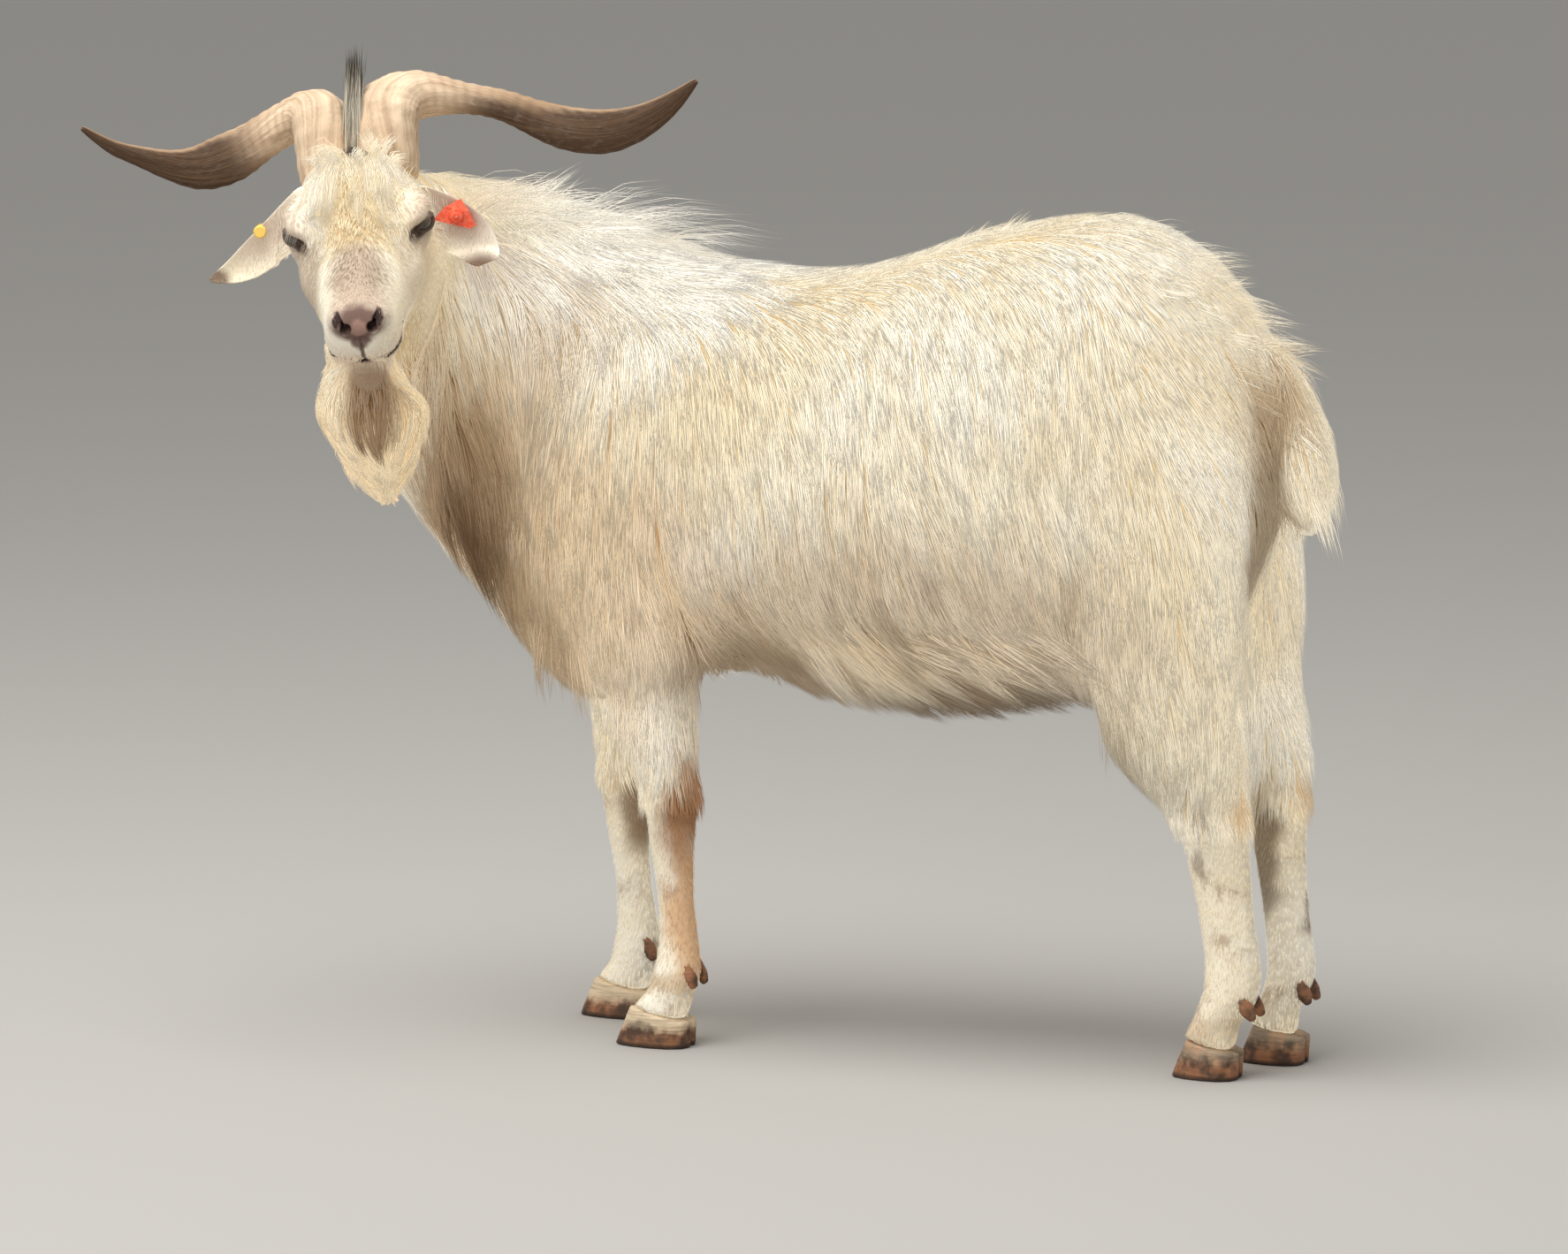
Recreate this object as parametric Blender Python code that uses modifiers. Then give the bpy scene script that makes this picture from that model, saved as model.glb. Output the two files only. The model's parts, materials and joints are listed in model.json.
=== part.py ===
"""A long-haired white billy goat at life size, standing, with its head turned back to its left.

Metres, +Z up. The goat faces -X, its left side is -Y, and its hooves stand on z = 0.
The flesh is modelled whole, from lofts through named sections, fused and thinned,
then parted into head, neck, trunk, tail and legs with thin cuts.
The shapes are those of the coat, out to the tips of the hair.
"""

import math

import bmesh
import bpy
import numpy as np
from mathutils import Matrix, Vector

# ---------------------------------------------------------------- driving dimensions
GAP = 0.0004  # between two pieces that meet
FIT = 0.0007  # that a fitted piece keeps from its neighbours
VOXEL = 0.005  # of the mesh that fuses the flesh
FLESH_FACES = 3650  # triangles of the fused flesh, before it is parted
HEAD_SHARE = 0.32  # of those, the share that the head keeps
EYE_RADIUS = 0.0130
HORN_SIDES = 10
HORN_STEPS = 2

# The head: a point on the bridge of the nose between the eyes, and how it is turned.
BROW_POINT = Vector((-0.542, -0.215, 0.822))
HEAD_HEADING = math.radians(108.5)  # turned left from straight ahead
HEAD_PITCH = math.radians(32.0)  # of the bridge of the nose, below level
HEAD_ROLL = math.radians(6.5)  # the left eye is the higher one

COLOURS = {  # base colour, roughness
    "coat": ((0.80, 0.72, 0.58), 0.85),
    "horn": ((0.42, 0.30, 0.19), 0.60),
    "hoof": ((0.25, 0.15, 0.10), 0.65),
    "eye": ((0.03, 0.02, 0.015), 0.10),
    "tag_orange": ((0.90, 0.16, 0.07), 0.45),
    "tag_yellow": ((0.85, 0.62, 0.15), 0.45),
}


# ---------------------------------------------------------------- helpers
def start_clean():
    for obj in list(bpy.data.objects):
        bpy.data.objects.remove(obj)
    goat = bpy.data.collections.new("goat")
    cutters = bpy.data.collections.new("cutters")
    for collection in (goat, cutters):
        bpy.context.scene.collection.children.link(collection)
    cutters.hide_render = True
    return goat, cutters


def material(name):
    made = bpy.data.materials.get(name) or bpy.data.materials.new(name)
    colour, roughness = COLOURS[name]
    made.use_nodes = True
    shader = made.node_tree.nodes["Principled BSDF"]
    shader.inputs["Base Color"].default_value = (*colour, 1.0)
    shader.inputs["Roughness"].default_value = roughness
    return made


def add_object(name, mesh, collection, slot=None):
    obj = bpy.data.objects.new(name, mesh)
    collection.objects.link(obj)
    if slot:
        mesh.materials.clear()
        mesh.materials.append(material(slot))
    if collection is CUTTERS:
        obj.hide_render = True
        obj.display_type = "WIRE"
    return obj


def from_bmesh(bm, name):
    bmesh.ops.recalc_face_normals(bm, faces=bm.faces)
    mesh = bpy.data.meshes.new(name)
    bm.to_mesh(mesh)
    bm.free()
    return mesh


def evaluated_mesh(obj):
    """The object's mesh with its modifiers applied."""
    graph = bpy.context.evaluated_depsgraph_get()
    return bpy.data.meshes.new_from_object(obj.evaluated_get(graph))


def apply_modifiers(obj):
    old = obj.data
    mesh = evaluated_mesh(obj)
    obj.modifiers.clear()
    obj.data = mesh
    bpy.data.meshes.remove(old)
    return obj


def joined(pieces):
    """One mesh of several, still as separate shells."""
    bm = bmesh.new()
    for mesh in pieces:
        bm.from_mesh(mesh)
        bpy.data.meshes.remove(mesh)
    mesh = bpy.data.meshes.new("joined")
    bm.to_mesh(mesh)
    bm.free()
    return mesh


def smooth_rows(rows, steps, place=3):
    """Rows of numbers, with `steps` rows to each gap, on a smooth curve through them all.

    The first numbers of a row are its place, and set how far apart the rows are.
    """
    rows = np.array(rows, float)
    gaps = np.linalg.norm(np.diff(rows[:, :place], axis=0), axis=1)
    at = np.concatenate([[0.0], np.cumsum(np.maximum(gaps, 1e-4))])
    slopes = np.gradient(rows, at, axis=0)
    made = []
    for i, gap in enumerate(np.diff(at)):
        for t in np.arange(steps) / steps:
            h00, h10 = 2 * t**3 - 3 * t**2 + 1, t**3 - 2 * t**2 + t
            h01, h11 = 3 * t**2 - 2 * t**3, t**3 - t**2
            made.append(
                h00 * rows[i]
                + h10 * gap * slopes[i]
                + h01 * rows[i + 1]
                + h11 * gap * slopes[i + 1]
            )
    return np.array(made + [rows[-1]])


def outline(sides, sag=0.0, square=1.0):
    """(across, up) of a closed section one unit each way.

    Sag widens its lower half, and square under 1 makes it boxier.
    """
    angle = np.linspace(0, 2 * np.pi, sides, endpoint=False)
    c, s = np.cos(angle), np.sin(angle)
    across = np.sign(c) * np.abs(c) ** square * (1 - sag * s)
    return across, np.sign(s) * np.abs(s) ** square


def loft(rings, name="loft"):
    """A closed solid through rings of points, each an array of the same number of points."""
    bm = bmesh.new()
    loops = [[bm.verts.new(point) for point in ring] for ring in rings]
    for near, far in zip(loops, loops[1:]):
        for i in range(len(near)):
            j = (i + 1) % len(near)
            bm.faces.new((near[i], near[j], far[j], far[i]))
    bm.faces.new(loops[0][::-1])
    bm.faces.new(loops[-1])
    return from_bmesh(bm, name)


def ellipsoid(centre, radii, turn=None, segments=20):
    """A squashed ball, its radii along the axes of turn."""
    bm = bmesh.new()
    place = Matrix.Translation(centre) @ (turn or Matrix()) @ Matrix.Diagonal((*radii, 1))
    bmesh.ops.create_uvsphere(bm, u_segments=segments, v_segments=segments // 2, radius=1, matrix=place)
    return from_bmesh(bm, "ellipsoid")


def cylinder(base, tip, radius, tip_radius=None, segments=24):
    """A cylinder or cone from base to tip."""
    base, tip = Vector(base), Vector(tip)
    bm = bmesh.new()
    turn = (tip - base).to_track_quat("Z", "Y").to_matrix().to_4x4()
    bmesh.ops.create_cone(
        bm,
        cap_ends=True,
        segments=segments,
        radius1=radius,
        radius2=radius if tip_radius is None else tip_radius,
        depth=(tip - base).length,
        matrix=Matrix.Translation((base + tip) / 2) @ turn,
    )
    return from_bmesh(bm, "cylinder")


def boolean(obj, cutter, operation="DIFFERENCE"):
    modifier = obj.modifiers.new(operation.lower(), "BOOLEAN")
    modifier.operation = operation
    modifier.object = cutter
    return apply_modifiers(obj)


def grown(obj, by, name):
    """A cutter: the object with its surface moved out by a small distance."""
    copy = add_object(name, obj.data.copy(), CUTTERS)
    modifier = copy.modifiers.new("grow", "DISPLACE")
    modifier.strength = by
    modifier.mid_level = 0.0
    return apply_modifiers(copy)


# ---------------------------------------------------------------- trunk and neck
# Upright sections from the rump forward: the spine's place in plan, the way the section faces
# in degrees left of straight ahead, the coat's top and lowest hair, the half width and the sag.
TRUNK_SECTIONS = [
    # x, y, heading, top, bottom, half width, sag
    (0.325, 0.000, 0, 0.660, 0.520, 0.045, 0.00),  # seat
    (0.308, 0.000, 0, 0.715, 0.480, 0.082, 0.00),
    (0.278, 0.000, 0, 0.764, 0.430, 0.110, 0.00),  # tail head
    (0.235, 0.000, 0, 0.804, 0.395, 0.130, 0.03),
    (0.180, 0.000, 0, 0.829, 0.372, 0.142, 0.06),  # croup, the highest point
    (0.100, 0.000, 0, 0.824, 0.352, 0.152, 0.10),  # hip
    (0.020, 0.000, 0, 0.810, 0.340, 0.160, 0.14),  # loin
    (-0.050, 0.000, 0, 0.784, 0.340, 0.163, 0.16),
    (-0.120, 0.000, 0, 0.768, 0.348, 0.158, 0.16),  # dip of the back
    (-0.190, 0.000, 0, 0.768, 0.360, 0.148, 0.12),
    (-0.260, 0.000, 0, 0.780, 0.366, 0.138, 0.06),  # withers
    (-0.330, 0.000, 2, 0.804, 0.352, 0.130, 0.02),  # shoulder
    (-0.395, -0.004, 8, 0.829, 0.338, 0.118, 0.00),
    (-0.445, -0.016, 20, 0.844, 0.374, 0.106, 0.00),  # brisket
    (-0.490, -0.038, 36, 0.854, 0.440, 0.098, -0.04),  # neck
    (-0.522, -0.072, 56, 0.862, 0.500, 0.086, -0.06),
    (-0.538, -0.112, 76, 0.862, 0.552, 0.070, -0.04),  # throat
    (-0.532, -0.150, 88, 0.840, 0.600, 0.058, 0.00),
    (-0.528, -0.185, 95, 0.790, 0.630, 0.044, 0.00),
]


def upright_ring(row, sides=32):
    """A section on an upright plane that faces the row's heading."""
    x, y, heading, top, bottom, half_width, sag = row
    across, up = outline(sides, sag, square=0.86)
    middle, half_height = (top + bottom) / 2, (top - bottom) / 2
    turn = math.radians(heading)
    left = np.array([math.sin(turn), -math.cos(turn)])
    places = np.array([x, y]) + np.outer(across * half_width, left)
    return np.column_stack([places, middle + up * half_height])


def trunk_and_neck():
    return loft([upright_ring(row) for row in smooth_rows(TRUNK_SECTIONS, 4, place=2)])


# ---------------------------------------------------------------- legs
# Level sections from the body down: place, fore-and-aft half length and half width.
# Each is for a left leg, with y measured out from the middle.
FRONT_LEG = [
    # x, y out, z, half length, half width
    (-0.335, 0.082, 0.640, 0.070, 0.030),  # shoulder blade
    (-0.338, 0.086, 0.560, 0.085, 0.044),
    (-0.330, 0.086, 0.480, 0.082, 0.050),  # upper arm
    (-0.308, 0.082, 0.410, 0.064, 0.048),
    (-0.290, 0.077, 0.350, 0.052, 0.042),  # elbow
    (-0.282, 0.073, 0.300, 0.041, 0.034),  # forearm
    (-0.274, 0.070, 0.255, 0.029, 0.027),
    (-0.272, 0.069, 0.208, 0.0245, 0.0245),  # knee
    (-0.271, 0.068, 0.175, 0.0210, 0.0205),
    (-0.268, 0.067, 0.130, 0.0195, 0.0180),  # cannon
    (-0.266, 0.067, 0.096, 0.0220, 0.0205),
    (-0.267, 0.068, 0.074, 0.0245, 0.0240),  # fetlock
    (-0.273, 0.069, 0.054, 0.0255, 0.0240),
    (-0.285, 0.070, 0.036, 0.0300, 0.0255),  # pastern
    (-0.291, 0.070, 0.020, 0.0340, 0.0270),
]
HIND_LEG = [
    (0.215, 0.070, 0.680, 0.080, 0.046),  # haunch
    (0.222, 0.080, 0.600, 0.098, 0.062),
    (0.225, 0.084, 0.510, 0.098, 0.064),  # thigh
    (0.228, 0.082, 0.430, 0.093, 0.060),
    (0.236, 0.079, 0.370, 0.082, 0.053),  # stifle
    (0.247, 0.073, 0.320, 0.071, 0.043),  # gaskin
    (0.261, 0.068, 0.290, 0.059, 0.036),
    (0.273, 0.065, 0.264, 0.0450, 0.0300),  # hock
    (0.281, 0.063, 0.238, 0.0365, 0.0255),
    (0.287, 0.058, 0.190, 0.0305, 0.0210),  # cannon
    (0.294, 0.055, 0.140, 0.0285, 0.0200),
    (0.298, 0.053, 0.105, 0.0290, 0.0220),
    (0.295, 0.052, 0.080, 0.0290, 0.0240),  # fetlock
    (0.283, 0.051, 0.058, 0.0255, 0.0235),
    (0.273, 0.050, 0.038, 0.0275, 0.0240),  # pastern
    (0.268, 0.050, 0.020, 0.0310, 0.0250),
]
RIGHT_STEPS = {  # how far behind the left leg the right one stands, at each height
    "front": [
        (0.0, -0.092), (0.13, -0.096), (0.26, -0.103),
        (0.36, -0.075), (0.50, -0.045), (0.64, -0.020),
    ],
    "hind": [(0.0, 0.037), (0.11, 0.026), (0.27, 0.024), (0.40, 0.008), (0.64, 0.003)],
}
RIGHT_HIND_SLIMMER = 0.86  # below the hock


def leg_shift(kind, side, z):
    if side == "left":
        return 0.0
    heights, steps = zip(*RIGHT_STEPS[kind])
    return float(np.interp(z, heights, steps))


def leg_rows(kind, side):
    rows = smooth_rows(FRONT_LEG if kind == "front" else HIND_LEG, 3)
    sign = -1 if side == "left" else 1
    for row in rows:
        row[0] += leg_shift(kind, side, row[2])
        row[1] *= sign
        if kind == "hind" and side == "right" and 0.05 < row[2] < 0.25:
            row[3] *= RIGHT_HIND_SLIMMER
    return rows


def leg(kind, side, sides=20):
    across, along = outline(sides, square=0.94)
    rings = []
    for x, y, z, half_length, half_width in leg_rows(kind, side):
        flat = np.full(sides, z)
        rings.append(np.column_stack([x + along * half_length, y + across * half_width, flat]))
    return loft(rings)


# ---------------------------------------------------------------- tail
TAIL = [
    # x, y, z, half length, half width
    (0.265, 0.0, 0.720, 0.020, 0.028),
    (0.300, 0.0, 0.700, 0.024, 0.030),
    (0.327, 0.0, 0.668, 0.026, 0.034),
    (0.345, 0.0, 0.625, 0.029, 0.042),
    (0.354, 0.0, 0.580, 0.030, 0.044),
    (0.354, 0.0, 0.545, 0.024, 0.034),
    (0.352, 0.0, 0.522, 0.009, 0.012),
]


def tail(sides=12):
    across, along = outline(sides)
    rows = smooth_rows(TAIL, 2)
    ways = np.gradient(rows[:, :3], axis=0)
    rings = []
    for (x, y, z, half_length, half_width), way in zip(rows, ways):
        way = way / np.linalg.norm(way)
        back = np.array([-way[2], 0.0, way[0]])  # square to the tail, in the goat's plane
        ring = np.outer(along * half_length, back)
        ring[:, 1] += across * half_width
        rings.append(ring + np.array([x, y, z]))
    return loft(rings)


# ---------------------------------------------------------------- head
def head_axes(pitch):
    """A 4x4 that takes (forward, left, up) on the head to the goat's frame."""
    ahead = Vector((-math.cos(HEAD_HEADING), -math.sin(HEAD_HEADING), 0))
    left = Vector((0, 0, 1)).cross(ahead)
    forward = math.cos(pitch) * ahead - math.sin(pitch) * Vector((0, 0, 1))
    axes = Matrix((forward, left, forward.cross(left))).transposed()
    rolled = Matrix.Rotation(HEAD_ROLL, 3, ahead) @ axes
    return Matrix.Translation(BROW_POINT) @ rolled.to_4x4()


FACE = head_axes(HEAD_PITCH)  # forward runs down the bridge of the nose
LEVEL = head_axes(0.0)  # forward is level

# Sections square to the bridge of the nose.
HEAD_SECTIONS = [
    # forward, left, up of the middle, half height, half width, sag
    (-0.128, 0, -0.058, 0.036, 0.042, 0.00),
    (-0.105, 0, -0.050, 0.062, 0.056, 0.00),  # poll
    (-0.070, 0, -0.046, 0.076, 0.064, 0.02),
    (-0.030, 0, -0.048, 0.074, 0.064, 0.02),  # forehead
    (0.005, 0, -0.050, 0.066, 0.059, 0.03),  # eyes
    (0.040, 0, -0.048, 0.057, 0.051, 0.10),
    (0.075, 0, -0.044, 0.047, 0.043, 0.12),
    (0.105, 0, -0.041, 0.040, 0.038, 0.08),
    (0.130, 0, -0.040, 0.034, 0.0355, 0.04),  # lips
    (0.148, 0, -0.037, 0.025, 0.029, 0.00),
    (0.158, 0, -0.034, 0.013, 0.017, 0.00),  # tip of the nose
]
HEAD_SWELLS = [
    # forward, left (on both sides), up, then radii the same way
    (-0.012, 0.040, -0.010, 0.042, 0.030, 0.025),  # brow over the eye
    (0.028, 0.034, -0.044, 0.046, 0.024, 0.028),  # cheek bone
    (-0.036, 0.043, -0.078, 0.050, 0.024, 0.042),  # jaw muscle
    (0.139, 0.018, -0.022, 0.020, 0.014, 0.014),  # wing of the nostril
    (0.124, 0.020, -0.047, 0.030, 0.020, 0.016),  # upper lip
    (0.112, 0.008, -0.073, 0.030, 0.020, 0.016),  # chin
]
EYE_PLACE = (0.004, 0.0575, -0.016)  # on the left; the right one mirrors it
EYE_OPENING = (0.0140, 0.014, 0.0075)  # radii of the gap between the lids
NOSTRIL_PLACE = (0.156, 0.0125, -0.020)
NOSTRIL_SIZE = (0.010, 0.0050, 0.0065)
MOUTH_LINE = -0.058  # how far under the bridge the lips meet
MOUTH_CORNER = 0.088  # how far down the nose the mouth starts


def head():
    across, up = outline(28, square=0.92)
    rings = []
    for f, l, u, half_height, half_width, sag in smooth_rows(HEAD_SECTIONS, 3):
        wide = across * half_width * (1 - sag * up)
        ring = [FACE @ Vector((f, l + a, u + b * half_height)) for a, b in zip(wide, up)]
        rings.append(np.array(ring))
    swells = []
    turn = FACE.to_3x3().to_4x4()
    for f, l, u, *radii in HEAD_SWELLS:
        for side in (-1, 1):
            swells.append(ellipsoid(FACE @ Vector((f, side * l, u)), radii, turn))
    return [loft(rings)] + swells


def press_mouth(mesh):
    """A shallow groove where the closed lips meet."""
    to_face = FACE.inverted()
    for vertex in mesh.vertices:
        f, l, u = to_face @ vertex.co
        off = abs(u - MOUTH_LINE - 0.006 * (l / 0.03) ** 2)
        if f > MOUTH_CORNER and off < 0.007 and (vertex.co - BROW_POINT).length < 0.2:
            vertex.co -= vertex.normal * 0.0035 * (1 - off / 0.007)


def on_face(place, side):
    return FACE @ Vector((place[0], place[1] * side, place[2]))


def head_hollows():
    """What the eye sockets and nostrils take out of the head."""
    turn = FACE.to_3x3().to_4x4()
    hollows = []
    for side in (-1, 1):
        eye = EYE_RADIUS + GAP
        hollows.append(ellipsoid(on_face(EYE_PLACE, side), (eye, eye, eye), turn, 16))
        front = (EYE_PLACE[0] + 0.007, EYE_PLACE[1] + 0.0115, EYE_PLACE[2])
        hollows.append(ellipsoid(on_face(front, side), EYE_OPENING, turn, 16))
        hollows.append(ellipsoid(on_face(NOSTRIL_PLACE, side), NOSTRIL_SIZE, turn, 12))
    return hollows


# ---------------------------------------------------------------- the flesh, whole and then parted
def flesh():
    """Trunk, neck, head and legs as one closed skin."""
    legs = [leg(kind, side) for kind in ("front", "hind") for side in ("left", "right")]
    whole = add_object("flesh", joined([trunk_and_neck(), *legs, *head()]), CUTTERS)
    remesh = whole.modifiers.new("fuse", "REMESH")
    remesh.mode = "VOXEL"
    remesh.voxel_size = VOXEL
    apply_modifiers(whole)
    body = [v.index for v in whole.data.vertices if not on_head(v.co)]
    whole.vertex_groups.new(name="body").add(body, 1.0, "REPLACE")
    soften = whole.modifiers.new("soften", "SMOOTH")
    soften.factor = 0.5
    soften.iterations = 8
    soften.vertex_group = "body"
    settle = whole.modifiers.new("settle", "SMOOTH")
    settle.factor = 0.5
    settle.iterations = 2
    apply_modifiers(whole)
    press_mouth(whole.data)
    body_faces = FLESH_FACES * (1 - HEAD_SHARE)
    thin(whole, body_faces, heads=False)
    thin(whole, FLESH_FACES, heads=True)
    return whole


def on_head(point):
    f, _, u = FACE.inverted() @ Vector(point)
    return f > -0.135 and u > -0.17 and (Vector(point) - BROW_POINT).length < 0.24


def triangle_count(mesh):
    return sum(len(p.vertices) - 2 for p in mesh.polygons)


def thin(whole, wanted, heads):
    """Thin the head, or all but the head, until that is about what is left."""
    mesh = whole.data
    rest = sum(
        len(p.vertices) - 2 for p in mesh.polygons if on_head(p.center) != heads
    )
    target = rest + wanted if not heads else wanted
    whole.vertex_groups.clear()
    chosen = [v.index for v in mesh.vertices if on_head(v.co) == heads]
    whole.vertex_groups.new(name="thinned").add(chosen, 1.0, "REPLACE")
    modifier = whole.modifiers.new("thin", "DECIMATE")
    modifier.vertex_group = "thinned"
    modifier.vertex_group_factor = 1000.0
    modifier.ratio = target / triangle_count(mesh)
    apply_modifiers(whole)


# Thin cuts: a point on each, the way it faces, and how far it reaches along x and across it.
CUTS = [
    ((-0.566, -0.135, 0.790), (0.10, -0.894, 0.447), 0.16, 0.19),  # throat
    ((-0.414, 0.000, 0.600), (-1.0, 0.0, 0.29), 0.22, 0.32),  # shoulders
    ((-0.295, -0.080, 0.380), (0.0, 0.90, 1.0), 0.12, 0.100),  # tops of the front legs
    ((-0.330, 0.080, 0.380), (0.0, -0.90, 1.0), 0.12, 0.100),
    ((0.235, -0.083, 0.440), (-0.66, 0.90, 1.0), 0.155, 0.115),  # tops of the hind legs
    ((0.240, 0.083, 0.440), (-0.66, -0.90, 1.0), 0.155, 0.115),
    ((-0.266, -0.070, 0.214), (0.0, 0.0, 1.0), 0.060, 0.060),  # knees
    ((-0.358, 0.070, 0.214), (0.0, 0.0, 1.0), 0.060, 0.060),
    ((0.280, -0.063, 0.246), (-0.25, 0.0, 1.0), 0.070, 0.055),  # hocks
    ((0.305, 0.063, 0.246), (-0.25, 0.0, 1.0), 0.070, 0.055),
]
CORONET_SLOPE = -0.22  # how the top of a hoof falls from the toe to the heel
FEET = {  # the middle of each pair of claws, and how high they reach there
    "front_left": (-0.294, -0.070, 0.035),
    "front_right": (-0.386, 0.070, 0.035),
    "hind_left": (0.267, -0.050, 0.034),
    "hind_right": (0.304, 0.050, 0.034),
}
CLAW_LENGTHS = {"front": 0.080, "hind": 0.068}
MARKS = {  # a place near the middle of each piece of flesh
    "head": (-0.545, -0.240, 0.770),
    "neck": (-0.490, -0.050, 0.650),
    "trunk": (0.000, 0.000, 0.580),
    "foreleg_left_upper": (-0.290, -0.077, 0.310),
    "foreleg_right_upper": (-0.365, 0.077, 0.310),
    "foreleg_left_lower": (-0.265, -0.070, 0.120),
    "foreleg_right_lower": (-0.355, 0.070, 0.120),
    "hindleg_left_upper": (0.245, -0.083, 0.400),
    "hindleg_right_upper": (0.250, 0.083, 0.400),
    "hindleg_left_lower": (0.300, -0.083, 0.150),
    "hindleg_right_lower": (0.312, 0.083, 0.150),
}


def slab(point, way, reach_x, reach_across):
    """A thin box: what a cut takes away."""
    way = Vector(way).normalized()
    along = (Vector((1, 0, 0)) - way * way.x)
    if along.length < 0.5:
        along = Vector((0, 1, 0)) - way * way.y
    along.normalize()
    axes = Matrix((along, way.cross(along), way)).transposed().to_4x4()
    size = Matrix.Diagonal((2 * reach_x, 2 * reach_across, GAP, 1))
    bm = bmesh.new()
    bmesh.ops.create_cube(bm, size=1, matrix=Matrix.Translation(point) @ axes @ size)
    return from_bmesh(bm, "slab")


def coronet(foot):
    """A slab at the top of a hoof."""
    x, y, z = FEET[foot]
    return slab((x, y, z + GAP / 2), (-CORONET_SLOPE, 0, 1), 0.055, 0.045)


def islands(mesh):
    """The separate shells of a mesh, each as a mesh of its own."""
    bm = bmesh.new()
    bm.from_mesh(mesh)
    left = set(bm.verts)
    shells = []
    while left:
        stack = [left.pop()]
        shell = set(stack)
        while stack:
            for edge in stack.pop().link_edges:
                for vertex in edge.verts:
                    if vertex in left:
                        left.discard(vertex)
                        shell.add(vertex)
                        stack.append(vertex)
        shells.append(shell)
    made = []
    for shell in shells:
        indices = {v.index for v in shell}
        part = bmesh.new()
        part.from_mesh(mesh)
        outside = [v for v in part.verts if v.index not in indices]
        bmesh.ops.delete(part, geom=outside, context="VERTS")
        piece = bpy.data.meshes.new("piece")
        part.to_mesh(piece)
        part.free()
        made.append(piece)
    bm.free()
    return made


def middle(mesh):
    places = np.array([v.co[:] for v in mesh.vertices])
    return Vector((places.min(axis=0) + places.max(axis=0)) / 2)


def part_flesh(whole):
    """Cut the flesh and name its pieces. The stubs below the coronets are dropped."""
    slabs = [slab(*cut) for cut in CUTS] + [coronet(foot) for foot in FEET]
    cutter = add_object("cuts", joined(slabs), CUTTERS)
    boolean(whole, cutter)
    hollows = head_hollows()
    for number, hollow in enumerate(hollows):
        boolean(whole, add_object(f"hollow {number}", hollow, CUTTERS))
    for piece in islands(whole.data):
        if middle(piece).z > 0.05:
            at = middle(piece)
            name = min(MARKS, key=lambda mark: (Vector(MARKS[mark]) - at).length)
            add_object(name, piece, GOAT, "coat")


# ---------------------------------------------------------------- horns
# Sections along each horn on the head's level axes: out from the middle, up and back from the
# brow point, the half breadth and half thickness, and how far the breadth has turned upright.
HORNS = {
    "left": [
        (0.034, 0.048, 0.062, 0.031, 0.028, 0),
        (0.036, 0.080, 0.074, 0.033, 0.0300, 0),
        (0.047, 0.103, 0.090, 0.032, 0.0300, 0),
        (0.077, 0.101, 0.108, 0.029, 0.0230, 5),
        (0.111, 0.093, 0.116, 0.026, 0.0135, 14),
        (0.144, 0.083, 0.120, 0.025, 0.0115, 22),
        (0.172, 0.068, 0.120, 0.024, 0.0108, 38),
        (0.206, 0.052, 0.117, 0.0235, 0.0100, 72),
        (0.245, 0.045, 0.111, 0.0225, 0.0095, 85),
        (0.282, 0.053, 0.104, 0.0160, 0.0078, 88),
        (0.312, 0.068, 0.098, 0.0095, 0.0055, 90),
        (0.337, 0.086, 0.092, 0.0020, 0.0018, 90),
    ],
    "right": [
        (0.030, 0.048, 0.062, 0.031, 0.028, 0),
        (0.030, 0.078, 0.074, 0.033, 0.0290, 0),
        (0.035, 0.096, 0.090, 0.032, 0.0270, 0),
        (0.056, 0.093, 0.106, 0.029, 0.0215, 10),
        (0.085, 0.081, 0.115, 0.027, 0.0150, 38),
        (0.108, 0.068, 0.120, 0.0265, 0.0125, 55),
        (0.133, 0.059, 0.120, 0.0265, 0.0110, 78),
        (0.157, 0.054, 0.117, 0.0230, 0.0100, 85),
        (0.184, 0.060, 0.111, 0.0150, 0.0085, 85),
        (0.213, 0.073, 0.104, 0.0090, 0.0065, 88),
        (0.238, 0.085, 0.098, 0.0060, 0.0045, 90),
        (0.264, 0.107, 0.092, 0.0018, 0.0016, 90),
    ],
}


def horn(side, sides=HORN_SIDES):
    sign = 1 if side == "left" else -1
    rows = smooth_rows(HORNS[side], HORN_STEPS)
    path = np.column_stack([-rows[:, 2], sign * rows[:, 0], rows[:, 1]])
    ways = np.gradient(path, axis=0)
    broad_unit, thin_unit = outline(sides, square=0.92)
    rings = []
    for at, way, (_, _, _, broad, thick, turned) in zip(path, ways, rows):
        way = Vector(way).normalized()
        back = (Vector((-1, 0, 0)) + way * way.x).normalized()
        upright = way.cross(back) * sign
        angle = math.radians(turned)
        breadth = back * math.cos(angle) + upright * math.sin(angle)
        thickness = way.cross(breadth)
        rings.append(np.array([
            LEVEL @ (Vector(at) + breadth * (b * broad) + thickness * (t * thick))
            for b, t in zip(broad_unit, thin_unit)
        ]))
    return loft(rings)


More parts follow.
